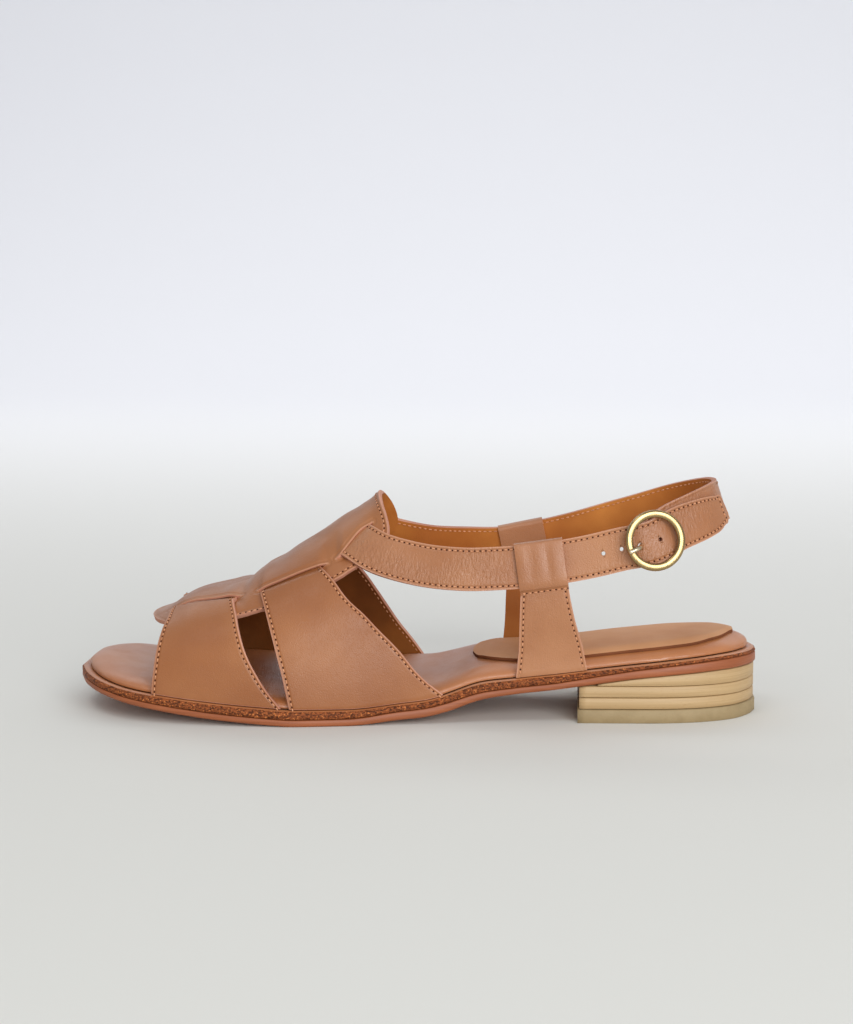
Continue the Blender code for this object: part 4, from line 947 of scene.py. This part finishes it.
def girthRate(x, around):
    # length of skin for each unit of around
    wall = upper["wall"]
    return np.linalg.norm(skin(x, around, wall) - skin(x, 0.9 * around, wall)) / (0.1 * abs(around))


def makeSaddle():
    rows = saddleLook["rows"]
    strips, middles = saddleLook["stripColumns"], saddleLook["middleColumns"]
    points, thin, index, openRow = [], [], {}, []

    def station(across, at):
        # place at the share at of the sheet's length, across from 0 at its middle to 1 at its edge
        front = place(readTable(saddleEnds, "front", across))
        rear = place(readTable(saddleEnds, "rear", across))
        return front + (rear - front) * at

    def add(key, p, wallShare=1.0):
        index[key] = len(points)
        points.append(p)
        thin.append(wallShare)

    wall = upper["wall"]
    for r in range(rows):
        at = 0.5 - 0.5 * math.cos(math.pi * r / (rows - 1))
        at = 0.5 * at + 0.5 * r / (rows - 1)  # rows a little closer at both ends
        middleX = station(0.5, at)
        edge = readTable(saddleLine, "edge", share(middleX))
        slit = slitAt(middleX)
        opened = readTable(saddleLine, "open", share(station(slit / edge, at)))
        openRow.append(opened > 0.02)
        for side in (-1, 1):
            for c in range(strips):
                t = 1 - c / (strips - 1)
                around = slit + (edge - slit) * t
                x = station(around / edge, at)
                dip = saddleLook["slitDip"] * opened * ease(1 - t * 1.6)
                p = skin(x, side * around, saddleLift(x, around, 0) + wall - dip)
                add((r, side, "strip", c), p)
            girth = girthRate(middleX, side * slit)
            for c in range(middles):
                t = (1 - c / (middles - 1)) ** 0.6
                around = slit * t
                if side > 0 and c == middles - 1:
                    index[(r, 1, "middle", c)] = index[(r, -1, "middle", c)]
                    continue
                x = station(around / edge, at)
                lip = opened * (1 - ease((slit - around) * girth / saddleLook["lipReach"]))
                p = skin(x, side * around, saddleLift(x, around, 1) + wall - lip * saddleLook["lipRoll"])
                add((r, side, "middle", c), p, 1 - lip * (1 - saddleLook["lipWall"]))
    faces = []
    for r in range(rows - 1):
        for side in (-1, 1):

            def idx(row, part, c):
                # strip and middle share their seam vertex where the sheet is whole
                if part == "middle" and c == 0 and not openRow[row]:
                    return index[(row, side, "strip", strips - 1)]
                return index[(row, side, part, c)]

            for part, count in (("strip", strips), ("middle", middles)):
                for c in range(count - 1):
                    quad = (idx(r, part, c), idx(r, part, c + 1),
                            idx(r + 1, part, c + 1), idx(r + 1, part, c))
                    faces.append(quad[::-1] if side < 0 else quad)
    used = sorted({i for face in faces for i in face})
    renumber = {old: new for new, old in enumerate(used)}
    faces = [tuple(renumber[i] for i in face) for face in faces]
    points = [points[i] for i in used]
    thin = [thin[i] for i in used]
    mesh = bpy.data.meshes.new("saddle_sheet")
    mesh.from_pydata([tuple(p) for p in points], [], faces)
    # distance from every point to the nearest free edge of the sheet
    form = bmesh.new()
    form.from_mesh(mesh)
    rim = np.array([v.co[:] for v in form.verts if v.is_boundary])
    values = [float(np.min(np.linalg.norm(rim - np.array(v.co[:]), axis=1))) for v in form.verts]
    form.free()
    for material in (leatherSkin, leatherLining, cutEdge):
        mesh.materials.append(material)
    mesh.attributes.new("fromEdge", "FLOAT", "POINT").data.foreach_set("value", values)
    mesh.polygons.foreach_set("use_smooth", [True] * len(mesh.polygons))
    made = bpy.data.objects.new("saddle_sheet", mesh)
    bpy.context.scene.collection.objects.link(made)
    wallShares = made.vertex_groups.new(name="wallShare")
    for i, wallShare in enumerate(thin):
        wallShares.add([i], wallShare, "REPLACE")
    thick = made.modifiers.new("wall", "SOLIDIFY")
    thick.vertex_group = wallShares.name
    thick.thickness = wall
    thick.offset = -1
    thick.use_even_offset = True
    thick.material_offset = 1
    thick.material_offset_rim = 2
    applyModifiers(made)
    roundEdges(made, rounding["strap"])
    # stitched along the outer edges and round the rear end
    sidePoints, rearPoints = 240, 121
    for side in (-1, 1):
        line = []
        for r in range(sidePoints):
            x = station(1.0, r / (sidePoints - 1))
            edge = readTable(saddleLine, "edge", share(x))
            around = edge - stitch["inset"] / girthRate(x, side * edge)
            lift = saddleLift(x, around, 0) + wall + stitch["proud"]
            line.append((x, skin(x, side * around, lift), lastNormal(x, side * around)))
        for low, high in saddleLook["seams"]:
            outerLines.append([(p, n) for x, p, n in line if place(low) < x < place(high)])
    rear = []
    for k in range(rearPoints):
        across = -1 + 2 * k / (rearPoints - 1)
        x = station(abs(across), 1.0) - stitch["inset"]
        edge = readTable(saddleLine, "edge", share(x))
        around = across * (edge - 0.03)
        inside = 1 if abs(around) < slitAt(x) else 0
        lift = saddleLift(x, abs(around), inside) + wall + stitch["proud"]
        rear.append((skin(x, around, lift), lastNormal(x, around)))
    outerLines.append(rear)
    return made


saddle = makeSaddle()
frontBand = makeBand("front_band", frontBandEdges)
secondBand = makeBand("second_band", secondBandEdges)
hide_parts("upper")
for piece in (saddle, frontBand, secondBand):
    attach(piece, "root")
print("upper made")


# Ankle strap

def pathPoints():
    points, outward = [], []

    def addAnkle(rows):
        for along, out, up, facing, lean in zip(*rows.values()):
            points.append(np.array([place(along), out * sole["ballWidth"] / 2, up * strap["height"]]))
            turn, rise = math.radians(facing), math.radians(lean)
            level = math.cos(rise)
            outward.append(np.array([math.cos(turn) * level, math.sin(turn) * level, math.sin(rise)]))

    addAnkle(lateralPath)
    for along, around in zip(*instepPath.values()):
        points.append(lastPoint(place(along), around))
        outward.append(lastNormal(place(along), around))
    addAnkle(medialPath)
    return np.array(points), np.array(outward)


path = pathPoints()


def alongLoop(values, at):
    count = len(values)
    i = int(math.floor(at))
    t = at - i
    a, b, c, d = (values[(i + k) % count] for k in (-1, 0, 1, 2))
    return spline(a, b, c, d, t)


def pathFrame(at):
    point = alongLoop(path[0], at)
    travel = unit(alongLoop(path[0], at + 0.02) - alongLoop(path[0], at - 0.02))
    out = alongLoop(path[1], at)
    out = unit(out - travel * np.dot(out, travel))
    return point, travel, out, np.cross(travel, out)


def strapRow(at):
    point, travel, out, up = pathFrame(at)
    lift = strap["wall"] * readTable(strapRun, "lift", at)
    drop = strap["width"] * readTable(strapRun, "drop", at)
    return point + out * lift - up * drop, travel, out, up


def rowAfter(at, distance):
    step = 0.005 if distance > 0 else -0.005
    left = abs(distance)
    point = pathFrame(at)[0]
    while left > 0:
        at += step
        ahead = pathFrame(at)[0]
        left -= np.linalg.norm(ahead - point)
        point = ahead
    return at


def makeAnkleStrap():
    first, last = strapRun["row"][0], strapRun["row"][-1]
    rows = []
    at = first
    while at < last:
        rows.append(at)
        at += 0.03 if at < 1.5 or at > 31.5 else 0.085  # closer rows at both ends
    rows.append(last)
    shares = [math.sin(math.pi / 2 * s) for s in np.linspace(-1, 1, 11)]
    outer, inner, reach = [], [], []
    lines = {-1: [], 1: []}
    for row in rows:
        middle, travel, out, up = strapRow(row)
        half = strap["width"] / 2 * readTable(strapRun, "width", row)
        wall = strap["wall"] * readTable(strapRun, "wall", row)
        outer.append([middle + out * wall + up * half * s for s in shares])
        inner.append([middle + up * half * s for s in shares])
        endGap = min(abs(row - first), 9) * 0.0105  # about one row's length for each row from the point
        reach.append([min(half * (1 - abs(s)), endGap) for s in shares])
        for side in (-1, 1):
            lines[side].append((row, middle + up * side * (half - stitch["inset"]), out, wall))

    def seam(side, end):
        return [(p, n, w) for row, p, n, w in lines[side] if strap["tailSeam"] < row < end]

    # one seam on the outer face, round the point; one along each edge of the lining
    outerSeam = seam(-1, strap["outerSeamEnd"])[::-1] + seam(1, strap["outerSeamEnd"])
    outerLines.append([(p + n * (w + stitch["proud"]), n) for p, n, w in outerSeam])
    for side in (-1, 1):
        liningLines.append([(p - n * stitch["proud"], -n) for p, n, w in seam(side, strap["liningSeamEnd"])])
    # the strap's outer face takes the paler leather copy, a painted sheen
    finish = [strapSheenSkin, leatherLining, cutEdge]
    made = wallBetween("ankle_strap_leather", outer, inner, reach, finish, rounding["strap"])
    cutters = []
    for k in range(-strap["holePairs"], strap["holePairs"] + 1):
        at = rowAfter(ringRow, buckle["prongReach"] + k * strap["holePitch"])
        middle, travel, out, up = strapRow(at)
        diameter = strap["prongHole"] if k == 0 else strap["hole"]
        start, end = middle - out * 0.0012, middle + out * 0.0032
        cutters.append(rod(f"punch_{k + 3}", start, end, diameter / 2, 14, cutEdge))
    point, travel, out, up = strapRow(ringRow + pathRows)
    axis = point + out * barHeight()
    bore, boreHalf = buckle["barWire"] / 2 + buckle["play"], 0.012
    cutters.append(rod("bar_bore", axis - up * boreHalf, axis + up * boreHalf, bore, 18, cutEdge))
    notch = buckle["prongWire"] / 2 + buckle["prongPlay"]
    radius = eyeRadius() + 2 * buckle["prongPlay"]
    cutters.append(rod("prong_notch", axis - up * notch, axis + up * notch, radius, 22, cutEdge))
    for cutter in cutters:
        step = made.modifiers.new(cutter.name, "BOOLEAN")
        step.operation = "DIFFERENCE"
        step.object = cutter
        step.solver = "EXACT"
    applyModifiers(made)
    for cutter in cutters:
        bpy.data.objects.remove(cutter)
    return made


def rod(name, start, end, radius, sides, material):
    axis = unit(end - start)
    across = unit(np.cross(axis, np.array([0.31, 0.47, 0.83])))
    other = np.cross(axis, across)
    points = []
    for centre in (start, end):
        for k in range(sides):
            turn = 2 * math.pi * k / sides
            points.append(centre + radius * (math.cos(turn) * across + math.sin(turn) * other))
    faces = [tuple(range(sides)), tuple(range(2 * sides - 1, sides - 1, -1))]
    faces += [(k, (k + 1) % sides, sides + (k + 1) % sides, sides + k) for k in range(sides)]
    return newObject(name, points, faces, [material], smooth=False)


def barHeight():
    return strap["foldWall"] + buckle["play"] + buckle["barWire"] / 2


def eyeRadius():
    return buckle["barWire"] / 2 + buckle["play"] + strap["foldWall"]


ankleStrap = makeAnkleStrap()
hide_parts("ankle_strap")
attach(ankleStrap, "root")
print("ankle strap made")


# Tabs: a strap from the sole, up over the ankle strap and down inside it

def makeTab(name, node, row, side):
    middle, travel, out, up = strapRow(row)
    forward = travel if side < 0 else -travel
    half = strap["width"] / 2
    layer, seam = tab["layer"], tab["seam"]
    near = -gap - layer
    far = strap["wall"] + gap + layer
    top = half + gap + layer * tab["topWall"]
    span = far - near
    # outer face of the sheet from the seam line to the inner end: out, up, share of the puff, wall;
    # the offsets round the seam and the fold's bulge are in metres
    profilePoints = [(near + 2 * layer, -half - seam, 0, layer),
                     (near + 2 * layer + 0.0001, -half - 0.75 * seam, 0, layer),
                     (near + 2 * layer + 0.0005, -half - 0.50 * seam, 0.1, layer),
                     (far - 0.0005, -half - 0.20 * seam, 0.2, layer), (far, -half + 0.0010, 0.4, layer)]
    steps = 12
    profilePoints += [(far, -half + 2 * half * k / steps * 0.97, 0.4 + 0.6 * math.sin(math.pi * k / steps),
                       layer) for k in range(2, steps)]
    for k in range(steps + 1):
        turn = math.pi * k / steps
        profilePoints.append((near + span / 2 + span / 2 * math.cos(turn) * (1 + 0.12 * math.sin(turn)),
                              half - 0.0006 + (top - half + 0.0006) * math.sin(turn) ** 0.8,
                              0.3 * (1 - k / steps), layer * (1 - (1 - tab["topWall"]) * math.sin(turn))))
    profilePoints += [(near, half - half * 2 * k / 6, 0, layer) for k in range(1, 7)]
    profilePoints += [(near, -half - seam * 0.5, 0, layer), (near, -half - seam + 0.0003, 0, layer)]
    columns = tab["columns"]
    shares = [0.5 - 0.5 * math.cos(math.pi * c / (columns - 1)) for c in range(columns)]
    loopEnd = middle - up * (half + seam)
    footWall = sole["weltRim"] - upper["footMargin"] - gap
    outer, walls = [], []
    footRows = tab["footRows"]
    for down in [1 - k / footRows for k in range(footRows)]:
        front = strap["width"] * readTable(tabEdges, "front", down)
        rear = strap["width"] * readTable(tabEdges, "rear", down)
        line = []
        for c in shares:
            s = front - (front + rear) * c
            x = loopEnd[0] - s
            low = weltTop(x) + gap
            z = loopEnd[2] + (low - loopEnd[2]) * down
            edge = side * (halfWidth(x, side) - upper["footMargin"])
            topY = loopEnd[1] + out[1] * (near + 2 * layer)
            line.append(np.array([x, topY + (edge - topY) * ease(down), z]))
        outer.append(line)
        walls.append(footWall + (layer - footWall) * ease((1 - down) / 0.5))
    front = strap["width"] * tabEdges["front"][0]
    rear = strap["width"] * tabEdges["rear"][0]

    def foldAt(c):
        pillow = tab["puff"] * (1 - (2 * c - 1) ** 6)
        valleys = 0.9 * math.exp(-((c - 0.66) / 0.07) ** 2) + 0.6 * math.exp(-((c - 0.30) / 0.10) ** 2)
        return pillow - tab["fold"] * valleys

    for o, u, puff, thickness in profilePoints:
        outer.append([middle + out * (o + puff * foldAt(c)) + up * u
                      + forward * (front - (front + rear) * c) for c in shares])
        walls.append(thickness)
    grid = np.array(outer)
    tangents = np.gradient(grid, axis=0)
    across = np.gradient(grid, axis=1)
    normals = np.cross(tangents, across)
    normals /= np.linalg.norm(normals, axis=2)[:, :, None]
    if normals[0, columns // 2, 1] * side < 0:
        normals = -normals
    inner, reach = [], []
    for r, line in enumerate(outer):
        width = np.linalg.norm(line[-1] - line[0])
        inner.append([line[c] - normals[r, c] * walls[r] for c in range(columns)])
        reach.append([min(s, 1 - s) * width if r <= footRows else farFromEdge for s in shares])

    def stitchPoint(r, t):
        # point and outward direction at the share t of row r
        c = np.interp(t, shares, range(columns))
        low = int(min(c, columns - 2))
        n = unit(normals[r, low])
        return outer[r][low] * (1 - (c - low)) + outer[r][low + 1] * (c - low) + n * stitch["proud"], n

    # one line of stitches down each side of the foot, and across below the loop
    seamRow = footRows + 1
    insets = [stitch["inset"] / np.linalg.norm(line[-1] - line[0]) for line in outer]
    outerLines.append([stitchPoint(r, insets[r]) for r in range(1, seamRow + 1)])
    outerLines.append([stitchPoint(r, 1 - insets[r]) for r in range(1, seamRow + 1)])
    inset = insets[seamRow]
    outerLines.append([stitchPoint(seamRow, inset + (1 - 2 * inset) * k / 19) for k in range(20)])
    # the tab's outer face takes the paler leather copy, a painted sheen
    made = wallBetween(name, outer, inner, reach, [tabSheenSkin, leatherLining, cutEdge], rounding["tab"])
    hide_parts(node)
    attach(made, "root")
    return made


makeTab("lateral_tab", "tab_lateral", lateralTabRow, -1)
makeTab("medial_tab", "tab_medial", medialTabRow, 1)
makeStitches("stitching", outerLines, stitch["hole"])
makeStitches("lining_stitching", liningLines, stitch["liningHole"])
print("tabs and stitching made")


# Buckle

def swell(value, square):
    return math.copysign(abs(value) ** square, value)


def tubeAlong(name, points, radii, sides, material, closed=False, flat=1.0, square=1.0, flatDirection=None):
    # wire along points, its ends closed; flat: thickness to width, square: under 1 for flatter faces
    count = len(points)
    turns = [2 * math.pi * k / sides for k in range(sides)]
    section = [(swell(math.cos(t), square), flat * swell(math.sin(t), square)) for t in turns]
    rings = []
    for i, p in enumerate(points):
        before = points[(i - 1) % count] if closed else points[max(i - 1, 0)]
        after = points[(i + 1) % count] if closed else points[min(i + 1, count - 1)]
        travel = unit(after - before)
        guide = flatDirection if flatDirection is not None else np.array([0.31, 0.47, 0.83])
        thick = unit(guide - travel * np.dot(guide, travel))
        wide = np.cross(travel, thick)
        rings.append([p + radii[i] * (across * wide + through * thick) for across, through in section])
    vertices = [v for ring in rings for v in ring]
    faces = []
    for i in range(count if closed else count - 1):
        j = (i + 1) % count
        for k in range(sides):
            m = (k + 1) % sides
            faces.append((i * sides + k, i * sides + m, j * sides + m, j * sides + k))
    if not closed:
        faces.append(tuple(range(sides)))
        faces.append(tuple(range((count - 1) * sides, count * sides)))
    return newObject(name, vertices, faces, [material])


def smoothPoints(points, steps):
    rows = [2 * points[0] - points[1]] + list(points) + [2 * points[-1] - points[-2]]
    found = []
    for i in range(1, len(rows) - 2):
        a, b, c, d = rows[i - 1:i + 3]
        for k in range(steps):
            found.append(spline(a, b, c, d, k / steps))
    found.append(points[-1])
    return found


def makeBuckle():
    point, forward, out, up = strapRow(ringRow + pathRows)
    bar = point + out * barHeight()
    freeEnd = strap["wall"] * readTable(strapRun, "lift", ringRow) + strap["wall"]
    height = freeEnd + gap + buckle["wire"] / 2 - barHeight()
    centre = bar + out * height
    radius = buckle["radius"]
    count = buckle["ringPoints"]
    ringPath = [centre + radius * (math.cos(t) * forward + math.sin(t) * up)
                for t in (2 * math.pi * k / count for k in range(count))]
    ring = tubeAlong("buckle_ring_wire", ringPath, [buckle["wire"] / 2] * count, 24, paleBrass, closed=True,
                     flat=buckle["flat"], square=buckle["square"], flatDirection=out)
    inside = strap["width"] / 2 + 0.0010
    legs = [centre + up * radius, centre + up * (radius - 0.0002) - out * 0.45 * height,
            bar + up * (inside + 0.0003) + out * 0.18 * height, bar + up * (inside - 0.0012), bar,
            bar - up * (inside - 0.0012), bar - up * (inside + 0.0003) + out * 0.18 * height,
            centre - up * (radius - 0.0002) - out * 0.45 * height, centre - up * radius]
    wire = smoothPoints(legs, 8)
    barPiece = tubeAlong("buckle_bar_wire", wire, [buckle["barWire"] / 2] * len(wire), 14, paleBrass)
    rest = height + buckle["wire"] / 2 + gap + buckle["prongWire"] / 2
    reach = buckle["prongReach"]
    pinPath = smoothPoints([
        bar + forward * 0.8 * eyeRadius(),
        bar + forward * (reach - 0.0012) + out * 0.04 * rest,
        bar + forward * reach + out * 0.25 * rest,
        bar + forward * (reach + 0.0004) + out * 0.50 * rest,
        bar + forward * (reach + 0.0024) + out * 0.90 * rest,
        bar + forward * radius + out * (rest - 0.0001),
        bar + forward * (radius + 0.0016) + out * 0.96 * rest], 8)
    tips = [1.0] * len(pinPath)
    for k, size in enumerate((0.25, 0.70, 0.90)):
        tips[-1 - k] = size
    # the prong in the paler brass copy, a painted highlight
    pin = tubeAlong("buckle_pin", pinPath, [buckle["pinWire"] / 2 * t for t in tips], 16, litPinBrass)
    eyeMiddle = buckle["barWire"] / 2 + buckle["play"] + strap["foldWall"] / 2
    eyePath = [bar + eyeMiddle * (math.cos(t) * forward + math.sin(t) * out)
               for t in (2 * math.pi * k / 32 for k in range(32))]
    eye = tubeAlong("buckle_pin_eye", eyePath, [strap["foldWall"] / 2] * 32, 14, paleBrass, closed=True)
    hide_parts("buckle_ring")
    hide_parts("buckle_prong")
    for piece in (ring, barPiece, pin, eye):
        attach(piece, "root")


makeBuckle()
print("buckle made")


# Floor, light and camera

# floor and wall are the two ends of one colour fade on the backdrop sheet, a painted fall-off of the light
studio = {"floor": tone(223, 223, 217), "wall": tone(238, 239, 243), "wallStarts": -0.2, "wallEnds": 2.0,
          "sky": tone(250, 251, 255), "skyStrength": 0.49, "front": -3.0, "curveStarts": 1.6,
          "curveRadius": 1.2, "top": 4.0, "halfWidth": 4}
# place, what it points at, size, watts
lights = {"frontLight": ((0.70, -1.60, 0.60), (0, 0, 0.03), (1.2, 0.9), 23.5),
          "sheenLight": ((-0.35, -0.62, 1.30), (-0.05, 0, 0.03), (0.5, 0.4), 2.3),
          "wallLight": ((0.15, 1.20, 1.10), (0.15, 1.50, 0), (3.2, 1.2), 15)}
view = {"turn": 4.0, "tilt": 7.1, "lens": 75, "sensor": 36, "place": (0.05969, -0.7979, 0.1732)}


def makeStudio():
    # a sheet that curves up behind the shoe
    flat, radius, wide = studio["curveStarts"], studio["curveRadius"], studio["halfWidth"]
    turns = [math.pi / 2 * k / 12 for k in range(1, 13)]
    depth = [studio["front"]] + [flat * k / 10 for k in range(11)]
    depth += [flat + radius * math.sin(turn) for turn in turns] + [flat + radius]
    level = [0.0] * 12 + [radius * (1 - math.cos(turn)) for turn in turns] + [studio["top"]]
    points = [(x, y, z) for y, z in zip(depth, level) for x in (-wide, 0, wide)]
    faces = []
    for r in range(len(depth) - 1):
        for c in range(2):
            faces.append((3 * r + c, 3 * r + c + 1, 3 * r + c + 4, 3 * r + c + 3))
    material, tree, shader, where = newMaterial("paleFloor")
    split = tree.nodes.new("ShaderNodeSeparateXYZ")
    tree.links.new(where, split.inputs["Vector"])
    # painted light fall-off: darker towards the front, paler towards the back and up the wall
    paintedFalloff = ramp(tree, split.outputs["Y"], studio["wallStarts"], studio["wallEnds"])
    tree.links.new(mix(tree, paintedFalloff, studio["floor"], studio["wall"]), shader["Base Color"])
    shader["Roughness"].default_value = 0.85
    shader["Specular IOR Level"].default_value = 0.15
    mesh = bpy.data.meshes.new("floor")
    mesh.from_pydata(points, [], faces)
    mesh.materials.append(material)
    mesh.polygons.foreach_set("use_smooth", [True] * len(mesh.polygons))
    floor = bpy.data.objects.new("floor", mesh)
    bpy.context.scene.collection.objects.link(floor)
    world = bpy.data.worlds.new("studio")
    world.use_nodes = True
    sky = world.node_tree.nodes["Background"]
    sky.inputs["Color"].default_value = studio["sky"]
    sky.inputs["Strength"].default_value = studio["skyStrength"]
    bpy.context.scene.world = world


def setDown(name, data, right, back, where):
    # object that looks away from back, with its right side along right
    up = np.cross(back, right)
    made = bpy.data.objects.new(name, data)
    made.matrix_world = Matrix([[right[i], up[i], back[i], where[i]] for i in range(3)] + [[0, 0, 0, 1]])
    bpy.context.scene.collection.objects.link(made)
    return made


def addLight(name, where, target, size, power):
    lamp = bpy.data.lights.new(name, "AREA")
    lamp.shape = "RECTANGLE"
    lamp.size, lamp.size_y = size
    lamp.energy = power
    away = unit(np.array(where) - np.array(target))
    setDown(name, lamp, unit(np.cross((0, 0, 1), away)), away, where)


def makeCamera():
    turn, tilt = math.radians(view["turn"]), math.radians(view["tilt"])
    level = math.cos(tilt)
    back = np.array([math.sin(turn) * level, -math.cos(turn) * level, math.sin(tilt)])
    right = np.array([math.cos(turn), math.sin(turn), 0.0])
    lens = bpy.data.cameras.new("camera")
    lens.lens = view["lens"]
    lens.sensor_width = view["sensor"]
    bpy.context.scene.camera = setDown("camera", lens, right, back, view["place"])


makeStudio()
for name, values in lights.items():
    addLight(name, *values)
makeCamera()
bpy.context.scene.view_settings.view_transform = "Standard"
print("studio made")
